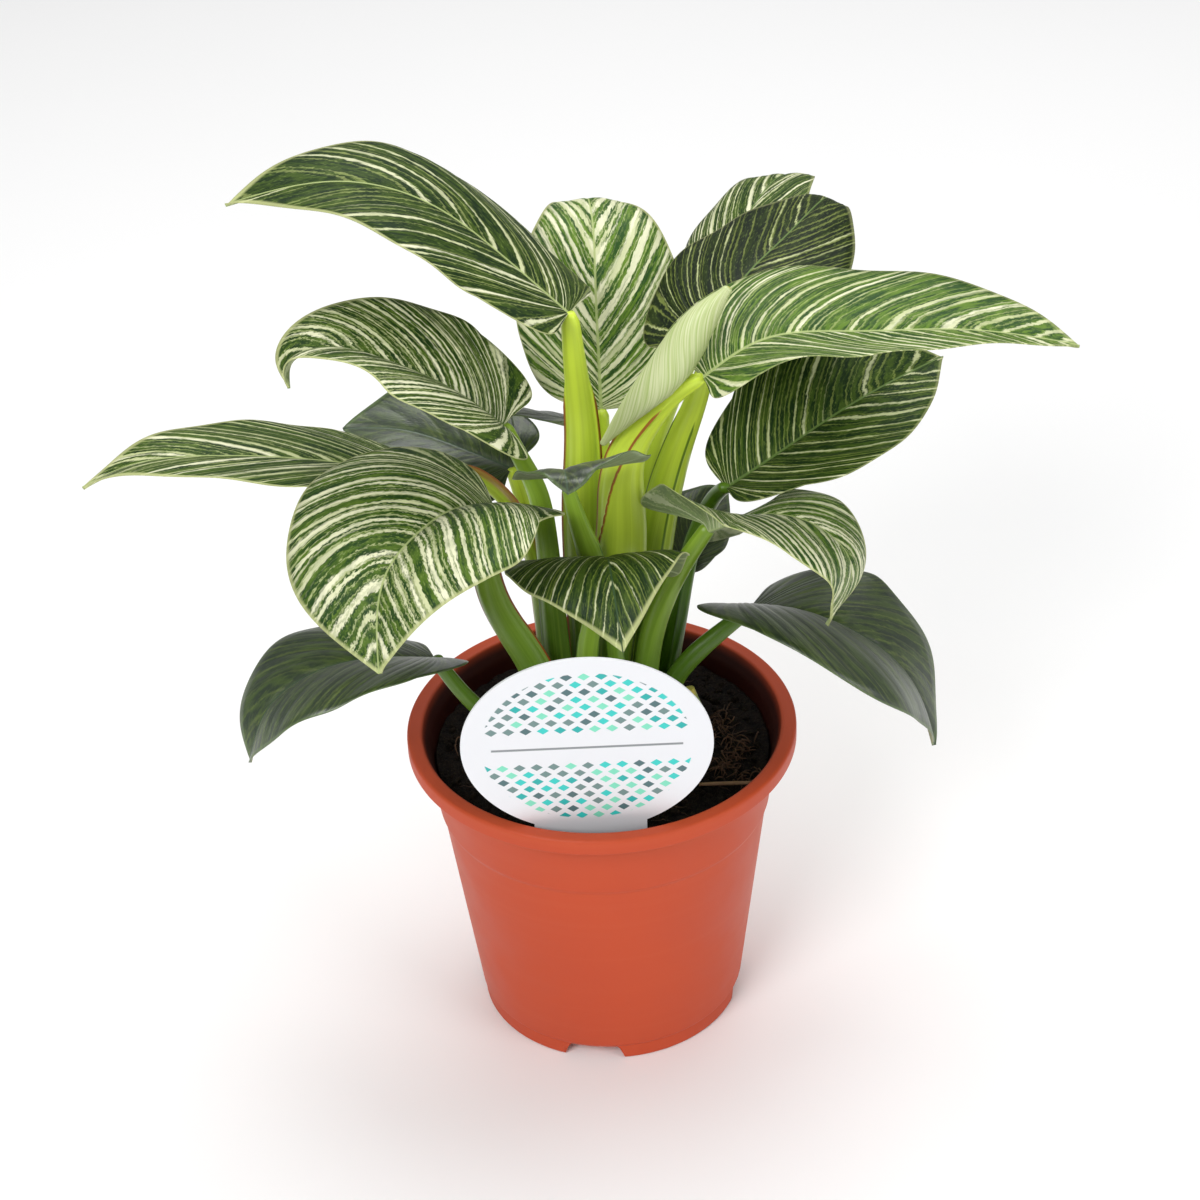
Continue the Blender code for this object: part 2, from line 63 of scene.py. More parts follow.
# Sizes that the CAD model has too
RIM_RADIUS, RIM_INNER_RADIUS, POT_HEIGHT, RIM_SKIRT = 60.8, 56.2, 103.0, 5.2
NECK_RADIUS, BASE_RADIUS, WALL = 54.2, 42.5, 1.2
STEP_DROP, STEP_DEPTH = 27.0, 0.6
FOOT_HEIGHT, FOOT_SETBACK, FLOOR_LOW = 6.0, 0.8, 3.5
NOTCH_COUNT, NOTCH_WIDTH, NOTCH_HEIGHT, NOTCH_TURN = 4, 18.0, 5.0, radians(-9.4)
PAD_RADIUS, DRAIN_COUNT, DRAIN_RADIUS, DRAIN_CIRCLE = 9.0, 8, 3.2, 27.0
SOIL_TOP, STEM_RADIUS = 94.0, 14.0
LABEL_RADIUS, LABEL_THICKNESS, LABEL_TILT = 36.8, 0.8, radians(11)
LABEL_BOTTOM = (-4.4, -48.5, 98.4)
TAB_WIDTH, TAB_LENGTH, TAB_TAPER = 33.6, 42.0, 8.0
SINUS, TIP_POWER, PETIOLE_DEPTH = 0.22, 1.1, 0.8

# spine: points along the midrib, base to tip. widths: those of the halves left and right of it, seen
# from above looking to the tip. face: which way the upper side looks at the base. fold, tip_fold: each
# half's angle to the level at the midrib, in degrees, at the base and at the tip. curl: how far it bends
# on from there to the margin. twist: roll about the midrib, base to tip. belly: how far along the blade
# is widest. lobe: how far the base reaches back. petiole: points from the soil up, short of the blade.
# radii: its half widths, foot to blade.
Leaf = namedtuple("Leaf", "spine widths face fold tip_fold curl twist belly lobe petiole radii")
LEAVES = {
    "upper_left": Leaf(
        [(-4, 5, 244), (-24, 13, 261), (-42, 16, 275), (-65, 16, 283), (-100, 15, 278)],
        (28, 32), (0.6, -0.3, 0.8), (10, 10), (11, 11), (-16, -50), (5, 3), 0.35, 10,
        [(-3, 6), (-3, 5, 146), (-3, 5, 178), (-2, 5, 204), (-3, 5, 226)], (5, 5.4, 5.6, 5.4, 4, 2.6)),
    "middle_left": Leaf(
        [(-24, -13, 218), (-39, -14, 232), (-58, -13, 242), (-74, -15, 247), (-83, -17, 244),
         (-84, -20, 237)],
        (28, 25), (0.5, -0.3, 0.8), (41, 22), (34, 20), (-42, -18), (0, 18), 0.38, 12,
        [(-11, -1), (-13, -4, 148), (-14, -7, 178), (-16, -9, 194), (-20, -11, 206)],
        (4.4, 4.2, 3.8, 3.4, 3, 2.2)),
    "far_left": Leaf(
        [(-49, 13, 187), (-77, 4, 199), (-109, -2, 206), (-133, -5, 206), (-149, -4, 198.5)],
        (22, 21), (0, -0.2, 1), (16, 11), (16, 11), (-17, -21), (12, 5), 0.39, 5,
        [(-15, 6), (-17, 7, 152), (-23, 8, 175), (-32, 10, 186), (-41, 12, 189)],
        (3.6, 3.6, 3.4, 2.6, 2.3, 2)),
    "front_left": Leaf(
        [(-28, -19, 194), (-39, -31, 202), (-49, -43, 202), (-58, -56, 197), (-61, -73, 175)],
        (38, 40), (0, -0.2, 1), (33, 28), (23, 12), (-44, -34), (8, 14), 0.42, 14,
        [(-12, -11), (-21, -12, 137), (-30, -13, 158), (-32, -14, 177)], (5, 5.3, 5, 3.6, 2.4)),
    "back_left": Leaf(
        [(-24, 27, 180), (-39, 35, 183), (-57, 41, 187), (-76, 45, 186)],
        (24, 24), (0, -0.4, 1), (12, 12), (12, 12), (-20, -20), (0, 0), 0.40, 8,
        [(-10, 12), (-13, 17, 131), (-18, 22, 156)], (3, 2.8, 2.5, 2)),
    "back_centre": Leaf(
        [(4, 20, 203), (4, 31, 218), (4, 43, 234), (4, 55, 247), (3, 69, 249), (3, 84, 236)],
        (25, 28), (0, -1, 0.3), (30, 22), (-10, -7), (-28, -24), (14, 3), 0.30, 3,
        [(1, 17), (2, 17, 138), (3, 18, 174)], (4, 3.6, 3.2, 2.4)),
    "back_right": Leaf(
        [(38, 46, 216), (46, 63, 232), (55.5, 80, 241.5), (64.5, 93, 243), (70, 104, 229)],
        (23, 21.5), (-0.3, -0.8, 0.5), (2, 8), (-2, 8), (-40, -22), (-14, -15), 0.33, 6,
        [(12, 15), (12, 22, 126), (15, 31, 160), (24, 39, 190)], (3.8, 3.6, 3.2, 2.8, 2.2)),
    "upper_right": Leaf(
        [(37, 8, 231), (46, 26, 240), (60, 44, 245), (71, 60, 247.5), (76, 69, 246), (77, 75, 238)],
        (28, 28), (-0.5, -0.7, 0.5), (4, 2), (5, -26), (-17, -23), (4, 1), 0.32, 11,
        [(8, 7), (14, 8, 130), (18, 8, 160), (23, 8, 185), (27, 8, 198), (32, 8, 212)],
        (4.6, 5, 5.4, 5.8, 5, 3.6, 2.2)),
    "long_right": Leaf(
        [(33, -13, 231), (50, -7, 239), (77, -4, 239), (109, -8, 240), (139, -18, 239)],
        (31, 30), (-0.4, -0.1, 1), (19, 16), (18, 16), (-29, 8), (6, 3), 0.36, 12,
        [(3, -3), (6, -5, 150), (9, -6, 180), (11, -6, 202), (18, -7, 215), (26, -10, 225)],
        (4.8, 5.4, 6.8, 7.6, 6.4, 4.2, 2.2)),
    "middle_right": Leaf(
        [(40, 2, 185), (53, 7, 191), (70, 14, 199), (88, 23, 205), (108, 35, 208)],
        (30, 29), (-0.5, -0.7, 0.5), (14, 24), (14, 24), (-10, -3), (-18, -4), 0.45, 7,
        [(16, 1), (25, 6, 138), (31, 14, 160.4), (35.5, 14, 171.6)], (3.4, 3.2, 3, 2.6, 2.2)),
    "front_right": Leaf(
        [(34.5, -9.5, 179), (49, -16, 186.5), (63, -22.5, 187), (74, -29, 178), (67.5, -32, 156.7)],
        (20, 28), (-0.1, -0.2, 1), (-30, 60), (-16, 10), (-14, 0), (-18, 10, 8, 0, -10), 0.36, 19,
        [(13, -8), (16, -9, 138), (22, -10.5, 158)], (4, 3.8, 3.4, 2.4)),
    "front_centre": Leaf(
        [(3, -19, 173), (4, -34, 185), (5, -49, 185), (7, -62, 171)],
        (24, 30), (0, -0.3, 1), (4, 10), (7, -1), (-20, -18), (-8, 18), 0.27, 12,
        [(-1, -15), (-3, -17, 142), (0, -19, 160)], (3.6, 3.4, 3, 2.2)),
    "low_right": Leaf(
        [(46, 1, 141), (62, -9, 147), (78, -16, 143), (93, -17, 128), (102, -19, 102)],
        (25, 35), (0, -0.2, 1), (18, 34), (14, 26), (-9, -43), (-25, 1), 0.34, 9,
        [(21, -5), (23, -5, 121), (31, -4, 131)], (3.2, 3.2, 3.1, 2.4)),
    "low_left": Leaf(
        [(-49, -18, 142), (-62, -25, 148), (-81, -31, 149), (-97, -37, 141), (-105, -41, 123)],
        (27, 23), (0, -0.2, 1), (18, 12), (18, 12), (-22, -22), (22, -6), 0.40, 9,
        [(-20, -14), (-30, -17, 114), (-38, -18, 124)], (2.8, 2.7, 2.6, 2.2)),
    "young_centre": Leaf(
        [(-7.3, -18.5, 203.6), (-7.2, -30, 211.2), (-7, -42, 219), (-6.7, -45, 218.6), (-6.4, -46.5, 214)],
        (25, 15), (0, 0.552, 0.834), (14, 2), (16, 0), (-10, -4), (0, 0), 0.35, 5,
        [(5, -13), (5, -13.4, 140), (1.6, -14, 165), (-3, -16, 182)], (2.2, 2.2, 2.4, 3.6, 1.6)),
    "shaded_right": Leaf(
        [(24.4, 14.6, 148), (28, 21.5, 155), (34, 30.5, 160), (43, 40, 162)],
        (12, 13), (0, -0.4, 1), (10, 10), (10, 10), (-20, -20), (0, 0), 0.40, 2,
        [(20, 12), (22.6, 13.4, 131)], (2.6, 2.2, 1.8)),
    "shaded_left": Leaf(
        [(-5, 16, 202), (-16, 23, 201), (-28, 31, 199), (-41, 39, 196)],
        (16, 16), (0, 0.5, 0.83), (8, 8), (8, 8), (-20, -20), (0, 0), 0.36, 6,
        [(-8, 19), (-6, 19, 151), (-6, 17, 184)], (2.4, 2.2, 2, 1.6)),
}

SPEAR = (
    [(3.8, -9.3, 208.2), (14, -12, 222.4), (23.4, -13.4, 234.2), (32.2, -13.4, 248.1), (41, -12.8, 258.9)],
    (0.8, 2.4, 4, 5.6, 6.6, 6.8, 6, 4.1, 1))
BUD = ([(28.8, -5.5), (28.5, -5.5, 107), (27.6, -6.3, 118.5)], (3.5, 4.1, 3.7, 1.4))

# How each striped blade is marked. lines: pale lines on each side of the midrib. width: their half
# width as a share of the spacing. kept: the share of them that show. broad: the share of broad cream
# lines among them. cream: how cream rather than green the lines are. green: the lightness of the green
# between. rib: the colour of the midrib. sweep: how much the veins crowd towards the base.
Marks = namedtuple("Marks", "lines width kept broad cream green rib sweep", defaults=[3.6])
MARKS = {
    "upper_left": Marks(15, 0.13, 0.75, 0.3, 0.85, 0.7, "pale"),
    "middle_left": Marks(24, 0.17, 0.92, 0.78, 1, 1, "green", 2.9),
    "far_left": Marks(22, 0.16, 0.85, 0.5, 0.7, 0.95, "pale"),
    "front_left": Marks(25, 0.17, 0.95, 0.88, 1, 1.35, "pale", 2.8),
    "back_centre": Marks(22, 0.24, 0.96, 0.92, 1, 2, "pale", 3),
    "back_right": Marks(24, 0.17, 0.9, 0.6, 0.9, 0.9, "green"),
    "upper_right": Marks(15, 0.08, 0.8, 0.05, 0.45, 0.28, "green"),
    "long_right": Marks(30, 0.18, 0.96, 0.45, 0.8, 1.8, "pale", 2.3),
    "middle_right": Marks(20, 0.13, 0.95, 0.12, 0.7, 0.85, "green", 2.7),
    "front_right": Marks(22, 0.22, 0.96, 0.85, 1, 1.8, "pale"),
    "front_centre": Marks(17, 0.095, 0.95, 0, 0.85, 0.7, "dark", 5),
}
# The plain dark leaves have only faint green lines: how many, the share that show, and the green
PLAIN = {
    "back_left": (10, 0.4, 0.6), "low_right": (12, 0.35, 0.55), "low_left": (12, 0.35, 0.65),
    "young_centre": (10, 0.3, 0.42), "shaded_right": (10, 0.3, 0.5), "shaded_left": (10, 0.3, 0.6),
}
for plain_name, (line_count, share_kept, green) in PLAIN.items():
    MARKS[plain_name] = Marks(line_count, 0.1, share_kept, 0, 0, green, "dark")
FAINT_MARGINS = (*PLAIN, "upper_right", "middle_right", "back_right", "long_right")

# The two fins of each petiole's sheath: their angles round it in degrees from the foot to the blade, 0
# to the right and -90 to the front, how far up they run, how far they stand out, whether their edges
# are red, and the petiole's green
Fins = namedtuple("Fins", "angles top reach red tone", defaults=[False, "lime"])
FINS = {
    "upper_left": Fins((-12, -160), 0.86, 1.2, red=True),
    "middle_left": Fins((-30, 190), 0.55, 0.7, tone="green"),
    "far_left": Fins((-10, 150), 0.93, 0.9, red=True),
    "front_left": Fins(((-20, -12), 160), 0.93, 1.0, red=True, tone="green"),
    "back_left": Fins((-20, -140), 0.6, 0.5),
    "back_centre": Fins((-40, -140), 0.8, 0.6),
    "back_right": Fins((-50, -150), 0.7, 0.5),
    "upper_right": Fins((-70, 190), 0.85, 0.7),
    "long_right": Fins(((-176, -172, -172), (-168, -168, -164, -104, -90)), 0.92, 1.3, red=True),
    "middle_right": Fins((-100, 160), 0.6, 0.4, tone="dark"),
    "front_right": Fins((-200, 120), 0.6, 0.5, tone="green"),
    "front_centre": Fins((-30, -170), 0.7, 0.5, tone="green"),
    "low_right": Fins((60, 150), 0.5, 0.3, tone="dark"),
    "low_left": Fins((30, 120), 0.5, 0.3, tone="dark"),
    "young_centre": Fins((-20, -160), 0.8, 0.4, tone="green"),
    "shaded_right": Fins((60, 150), 0.5, 0.3, tone="dark"),
    "shaded_left": Fins((-20, -160), 0.6, 0.3, tone="dark"),
}

# Where tufts of loose fibre stand out of the soil, with how many fibres, and the ends of one straw
TUFTS = (
    ((38, -14), 34), ((42, -5), 30), ((36, 6), 30), ((45, -22), 16), ((-38, -2), 30), ((-30, 14), 24),
    ((8, 40), 30),
)
STRAW = ((29, -25, 95.4), (45.5, -25.5, 95.6))
SOIL_LEVEL = SOIL_TOP - 0.6

# Colours, as linear red, green and blue
CREAM, PALE_GREEN, LIME = (0.82, 0.82, 0.57), (0.36, 0.44, 0.09), (0.58, 0.62, 0.28)
LEAF_DARK, LEAF_MID, FLECK = (0.012, 0.038, 0.006), (0.064, 0.118, 0.012), (0.19, 0.27, 0.06)
PLAIN_MARGIN, UNDERSIDE = (0.16, 0.26, 0.07), (0.4, 0.49, 0.25)
RIBS = {"pale": (0.42, 0.5, 0.2), "green": (0.14, 0.22, 0.06), "dark": (0.035, 0.075, 0.03)}
FIN_RED, BLUSH = (0.33, 0.045, 0.015), (0.36, 0.13, 0.035)
PETIOLES = {  # the colour low down and high up
    "lime": ((0.09, 0.19, 0.014), (0.68, 0.85, 0.07)),
    "green": ((0.09, 0.19, 0.014), (0.26, 0.42, 0.035)),
    "dark": ((0.048, 0.13, 0.004), (0.1, 0.21, 0.01)),
}
CARD, CARD_RULE = (0.8, 0.81, 0.84), (0.26, 0.28, 0.29)
INKS = ((0.02, 0.42, 0.4), (0.22, 0.72, 0.52), (0.16, 0.26, 0.25), (0.04, 0.6, 0.55), (0.08, 0.16, 0.17))

# The card's print, in millimetres: rows and columns of lozenges in two fields, with a rule between
ROW, COLUMN, FIELD_RADIUS, FIELD_GAP, RULE_RADIUS, RULE_HALF = 3.1, 5, 31, 6.2, 28, 0.5

CAMERA_AIM, CAMERA_DISTANCE = Vector((1.2, 20.7, 134.4)) * MM, 0.9
CAMERA_ELEVATION, CAMERA_ROLL, CAMERA_LENS = radians(33.5), radians(-2.5), 86.5

scene = bpy.context.scene


# ---- shapes ----


def smooth_line(through, count):
    """Points at even spacing along a natural cubic spline through the given points, and its length."""
    knots = np.array(through, float)
    steps = np.linalg.norm(np.diff(knots, axis=0), axis=1)
    at = np.concatenate([[0], np.cumsum(steps)])
    system, target = np.eye(len(knots)), np.zeros((len(knots), 3))
    for i in range(1, len(knots) - 1):
        system[i, i - 1 : i + 2] = steps[i - 1], 2 * (steps[i - 1] + steps[i]), steps[i]
        rise = (knots[i + 1] - knots[i]) / steps[i] - (knots[i] - knots[i - 1]) / steps[i - 1]
        target[i] = 6 * rise
    bend = np.linalg.solve(system, target)
    where = np.linspace(0, at[-1], 8 * count)
    i = np.clip(np.searchsorted(at, where, side="right") - 1, 0, len(knots) - 2)
    back, ahead, step = (where - at[i])[:, None], (at[i + 1] - where)[:, None], steps[i][:, None]
    fine = (bend[i] * ahead**3 + bend[i + 1] * back**3) / (6 * step)
    fine += (knots[i] / step - bend[i] * step / 6) * ahead
    fine += (knots[i + 1] / step - bend[i + 1] * step / 6) * back
    run = np.concatenate([[0], np.cumsum(np.linalg.norm(np.diff(fine, axis=0), axis=1))])
    even = np.linspace(0, run[-1], count)
    return np.stack([np.interp(even, run, fine[:, axis]) for axis in range(3)], 1), run[-1]


def unit(vectors):
    return vectors / np.linalg.norm(vectors, axis=-1, keepdims=True)


def spread(values, share):
    """Reads values that lie at even spacing from 0 to 1."""
    return np.interp(share, np.linspace(0, 1, len(values)), values)


def softened(values, reach):
    """The running mean over so many values on each side."""
    wide = 2 * reach + 1
    return np.convolve(np.pad(values, reach, mode="edge"), np.ones(wide) / wide, mode="valid")


def carried_frame(line, face, twist):
    """Tangent, right side and upper normal along a line: carried along without spin, then twisted."""
    tangents = unit(np.gradient(line, axis=0))
    normal, normals = np.array(face, float), []
    for tangent in tangents:
        normal = unit(normal - (normal @ tangent) * tangent)
        normals.append(normal)
    normals = np.array(normals)
    sides = np.cross(tangents, normals)
    roll = np.radians(spread(twist, np.linspace(0, 1, len(line))))[:, None]
    rolled = normals * np.cos(roll) + sides * np.sin(roll)
    return tangents, sides * np.cos(roll) - normals * np.sin(roll), rolled


def new_mesh(name, points, faces, attributes=None, material_of_face=None):
    """A mesh object from points in millimetres. Attributes are one number per point."""
    mesh = bpy.data.meshes.new(name)
    mesh.from_pydata(np.asarray(points) * MM, [], faces)
    for key, values in (attributes or {}).items():
        mesh.attributes.new(key, "FLOAT", "POINT").data.foreach_set("value", np.asarray(values, np.float32))
    if material_of_face is not None:
        mesh.polygons.foreach_set("material_index", material_of_face)
    mesh.shade_smooth()
    made = bpy.data.objects.new(name, mesh)
    scene.collection.objects.link(made)
    return made


def outward(made):
    """Turns every face of a closed mesh to look outwards."""
    shape = bmesh.new()
    shape.from_mesh(made.data)
    bmesh.ops.recalc_face_normals(shape, faces=shape.faces)
    shape.to_mesh(made.data)
    shape.free()
    return made


def band(low, high, sides):
    """The faces between two closed rings, given the first point of each."""
    faces = []
    for k in range(sides):
        after = (k + 1) % sides
        faces.append((low + k, low + after, high + after, high + k))
    return faces


def finish_piece(piece, nodes, slot, *materials):
    """Gives a piece its materials, hangs it from the root frame and hides the CAD parts that it stands in
    for.
    """
    for made in materials:
        piece.data.materials.append(made)
    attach(piece, "root")
    if nodes:
        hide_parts(*nodes)


def upper_surface(leaf, phase, sweep):
    """A leaf's upper surface, as a function of a vein and how far out along it a point is."""
    line, length = smooth_line(leaf.spine, 200)
    tangents, sides, normals = carried_frame(line, leaf.face, leaf.twist)

    def points(vein, out):
        """Points, upper normals and distances from midrib and margin. out is -1, left, to 1, right."""
        side = np.where(out < 0, -1.0, 1.0)
        pick = lambda pair: np.where(out < 0, pair[0], pair[1])
        power = TIP_POWER * leaf.belly / (1 - leaf.belly)
        peak = leaf.belly**power * (1 - leaf.belly) ** TIP_POWER
        margin_x = pick(leaf.widths) * vein**power * (1 - vein) ** TIP_POWER / peak
        margin_y = length * vein - leaf.lobe * np.sin(pi * np.clip(vein / SINUS, 0, 1))
        start_y = length * vein**sweep
        reach = np.abs(out)
        y = start_y + (margin_y - start_y) * (0.55 * reach + 0.45 * reach**2)
        x = margin_x * reach
        share = np.clip(y / length, 0, 1)
        place = share * (len(line) - 1)
        low = np.minimum(place.astype(int), len(line) - 2)
        part = (place - low)[..., None]
        mix = lambda rows: rows[low] * (1 - part) + rows[low + 1] * part
        sideways, up = unit(mix(sides)), unit(mix(normals))
        centre = mix(line) + np.minimum(y, 0)[..., None] * tangents[0]
        angle = np.radians(pick(leaf.fold) + (pick(leaf.tip_fold) - pick(leaf.fold)) * share)
        curl = np.array([c or 0.01 for c in leaf.curl], float)
        bend = np.radians(pick(curl)) / pick(leaf.widths)
        end = angle + bend * x
        across, above = (np.sin(end) - np.sin(angle)) / bend, (np.cos(angle) - np.cos(end)) / bend
        wave = 0.5 * reach**2 * np.sin(2 * pi * 3.5 * vein + side + phase)
        above = above + wave * np.clip(5 * vein, 0, 1)
        turn = (side * across)[..., None]
        normal = up * np.cos(end)[..., None] - sideways * (side * np.sin(end))[..., None]
        return centre + sideways * turn + up * above[..., None], normal, x, margin_x - x

    return points


def blade(name, leaf, seed):
    """A leaf's blade: upper skin, lower skin with a raised midrib, and a thin wall round the margin."""
    surface = upper_surface(leaf, seed, MARKS[name].sweep)
    rows, half, cross_ridges = 190, 18, 15
    step = np.arange(-half, half + 1) / half
    out_steps = np.sign(step) * np.abs(step) ** 1.45
    vein_steps = 0.5 - 0.5 * np.cos(pi * np.arange(1, rows) / rows)
    vein, out = np.meshgrid(vein_steps, out_steps, indexing="ij")
    top, normal, x, to_margin = surface(vein, out)
    reach = np.abs(out)
    ridge = np.abs(np.sin(pi * cross_ridges * vein ** 0.9)) ** 0.6 - 0.6
    shown = np.clip(x / 6, 0, 1) * (1 - reach**6)
    groove = np.exp(-((x / 1.1) ** 2)) * (1 - 0.6 * vein**2)
    top = top + normal * (0.22 * ridge * shown - 0.45 * groove)[..., None]
    thick = 0.30 + 0.15 * (1 - reach) + 1.5 * np.exp(-((x / 1.3) ** 2)) * (1 - 0.75 * vein**2)
    low = top - normal * thick[..., None]
    ends = surface(np.array([0.0, 1.0]), np.array([0.0, 0.0]))[0]
    wide = len(out_steps)
    count = top.shape[0] * wide
    base, tip = 2 * count, 2 * count + 1
    index = np.arange(count).reshape(-1, wide)
    first, last = index[0], index[-1]
    quads = np.stack([index[:-1, :-1], index[:-1, 1:], index[1:, 1:], index[1:, :-1]], -1).reshape(-1, 4)
    upper, lower, walls = quads.tolist(), (quads[:, ::-1] + count).tolist(), []
    upper += [(base, b, a) for a, b in zip(first, first[1:])]
    upper += [(tip, a, b) for a, b in zip(last, last[1:])]
    lower += [(base, a + count, b + count) for a, b in zip(first, first[1:])]
    lower += [(tip, b + count, a + count) for a, b in zip(last, last[1:])]
    for edge, turn in ((index[:, 0], 1), (index[:, -1], -1)):
        walls += [(a, b, b + count, a + count)[::turn] for a, b in zip(edge, edge[1:])]
    walls += [(base, first[0], first[0] + count), (base, first[-1] + count, first[-1])]
    walls += [(tip, last[0] + count, last[0]), (tip, last[-1], last[-1] + count)]
    faces = [tuple(int(i) for i in face) for face in upper + lower + walls]
    points = np.concatenate([top.reshape(-1, 3), low.reshape(-1, 3), ends])
    twice = lambda values, at_tip=0: np.concatenate([values.ravel(), values.ravel(), [0, at_tip]])
    attributes = {
        "vein": twice(vein, 1), "out": twice(out), "from_midrib": twice(x), "to_margin": twice(to_margin),
    }
    kinds = [0] * len(upper) + [1] * len(lower) + [0] * len(walls)
    return outward(new_mesh(f"leaf_{name}", points, faces, attributes, kinds))


def rod(name, line, thick, sides, section, level_start=True):
    """A closed rod. section(turns, share, radius) gives how far points stand out from the plain oval."""
    tangents = unit(np.gradient(line, axis=0))
    if level_start:
        tangents[0] = (0, 0, 1)
    across, rings, proud, count = np.array((1.0, 0, 0)), [], [], len(line)
    turns, shares = np.arange(sides) * 2 * pi / sides, np.arange(count) / (count - 1)
    for centre, tangent, radius, share in zip(line, tangents, thick, shares):
        across = unit(across - (across @ tangent) * tangent)
        other = np.cross(tangent, across)
        proud.append(section(turns, share, radius))
        oval = np.cos(turns)[:, None] * across + PETIOLE_DEPTH * np.sin(turns)[:, None] * other
        rings.append(centre + (radius + proud[-1])[:, None] * oval)
    points = np.concatenate([*rings, [line[0], line[-1]]])
    faces, low, high, last = [], count * sides, count * sides + 1, (count - 1) * sides
    for ring in range(0, last, sides):
        faces += band(ring, ring + sides, sides)
    for k in range(sides):
        after = (k + 1) % sides
        faces += [(low, after, k), (high, last + k, last + after)]
    attributes = {
        "around": [*np.tile(turns, count), 0, 0], "along": [*np.repeat(shares, sides), 0, 1],
        "proud": [*np.concatenate(proud), 0, 0],
    }
    return new_mesh(name, points, faces, attributes)


def on_soil(path):
    return [(*path[0][:2], SOIL_TOP + 0.3), *path[1:]]


def petiole(name, leaf):
    """A petiole with the two thin fins of its sheath, ending in the base of the midrib."""
    line, _ = smooth_line([*on_soil(leaf.petiole), leaf.spine[0]], 110)
    share = np.linspace(0, 1, len(line))
    thick = np.minimum(spread(leaf.radii, share), 1.5 + (1 - share) * 60)
    fins = FINS[name]

    def section(turns, place, radius):
        total = np.zeros(len(turns))
        fade = np.clip((fins.top - place) / 0.06, 0, 1) * np.clip(place / 0.1, 0.3, 1)
        for angles in fins.angles:
            angle = radians(spread(np.atleast_1d(angles), place))
            away = (turns - angle + pi) % (2 * pi) - pi
            total += fade * fins.reach * np.exp(-((away * radius / 0.45) ** 2))
        return total

    return rod(f"stalk_{name}", line, thick, 60, section)


def new_leaf():
    """A leaf still rolled up: its outer wrap ends in a ledge that winds along it."""
    line, _ = smooth_line(SPEAR[0], 120)
    thick = spread(SPEAR[1], np.linspace(0, 1, len(line)))
    soft = softened(thick, 9)
    soft[0], soft[-1] = thick[0], thick[-1]

    def wrap(turns, place, radius):
        wound = (turns - radians(-20 + 35 * place)) % (2 * pi) / (2 * pi)
        return -0.13 * radius * wound

    return rod("rolled_leaf", line, soft, 72, wrap, level_start=False)


def bud():
    """The tip of a shoot, wrapped like the rolled leaf."""
    line, _ = smooth_line(on_soil(BUD[0]), 40)

    def wrap(turns, place, radius):
        return -0.15 * radius * ((turns - 1.0 - place) % (2 * pi)) / (2 * pi)

    return rod("young_bud", line, softened(spread(BUD[1], np.linspace(0, 1, len(line))), 3), 32, wrap)


def turned(name, profile, sides=192):
    """A body turned about Z from a closed profile of (radius, height) points; radius 0 is on the axis."""
    points, rings = [], []
    for radius, height in profile:
        if radius == 0:
            rings.append([len(points)] * sides)
            points.append((0, 0, height))
            continue
        rings.append(list(range(len(points), len(points) + sides)))
        turns = (2 * pi * k / sides for k in range(sides))
        points += [(radius * cos(turn), radius * sin(turn), height) for turn in turns]
    faces = []
    for low, high in zip(rings, rings[1:] + rings[:1]):
        for k in range(sides):
            face = list(dict.fromkeys([low[k], low[(k + 1) % sides], high[(k + 1) % sides], high[k]]))
            if len(face) > 2:
                faces.append(face)
    return outward(new_mesh(name, points, faces))


def crown():
    """The short rooted stem between the petioles, with rings where old leaves were."""
    profile = [(0, SOIL_TOP - 8), (STEM_RADIUS * 0.8, SOIL_TOP - 8), (STEM_RADIUS, SOIL_TOP - 5)]
    profile += [(STEM_RADIUS - 0.3 * (k % 2), SOIL_TOP - 4 + 0.6 * k) for k in range(6)]
    profile += [(STEM_RADIUS - 1.2, SOIL_TOP - 0.1), (0, SOIL_TOP)]
    return turned("crown_stem", profile, 96)


def rounded(corners):
    """A profile with each corner (radius, height, rounding) turned into a short arc."""
    flat = np.array([(r, z) for r, z, _ in corners], float)
    done = []
    for k, (r, z, size) in enumerate(corners):
        here, back, ahead = flat[k], flat[k - 1], flat[(k + 1) % len(flat)]
        if not size:
            done.append((r, z))
            continue
        near = here + unit(back - here) * size
        far = here + unit(ahead - here) * size
        for t in (0, 0.2, 0.4, 0.6, 0.8, 1):
            done.append(tuple((1 - t) ** 2 * near + 2 * t * (1 - t) * here + t * t * far))
    return done


def wall_radius(height, inset=0.0):
    """The pot wall's outer radius at a height, less an inset."""
    top = POT_HEIGHT - RIM_SKIRT
    radius = BASE_RADIUS + (NECK_RADIUS - BASE_RADIUS) * height / top
    if height < POT_HEIGHT - STEP_DROP:
        radius -= STEP_DEPTH * (1 - height / top)
    return radius - inset


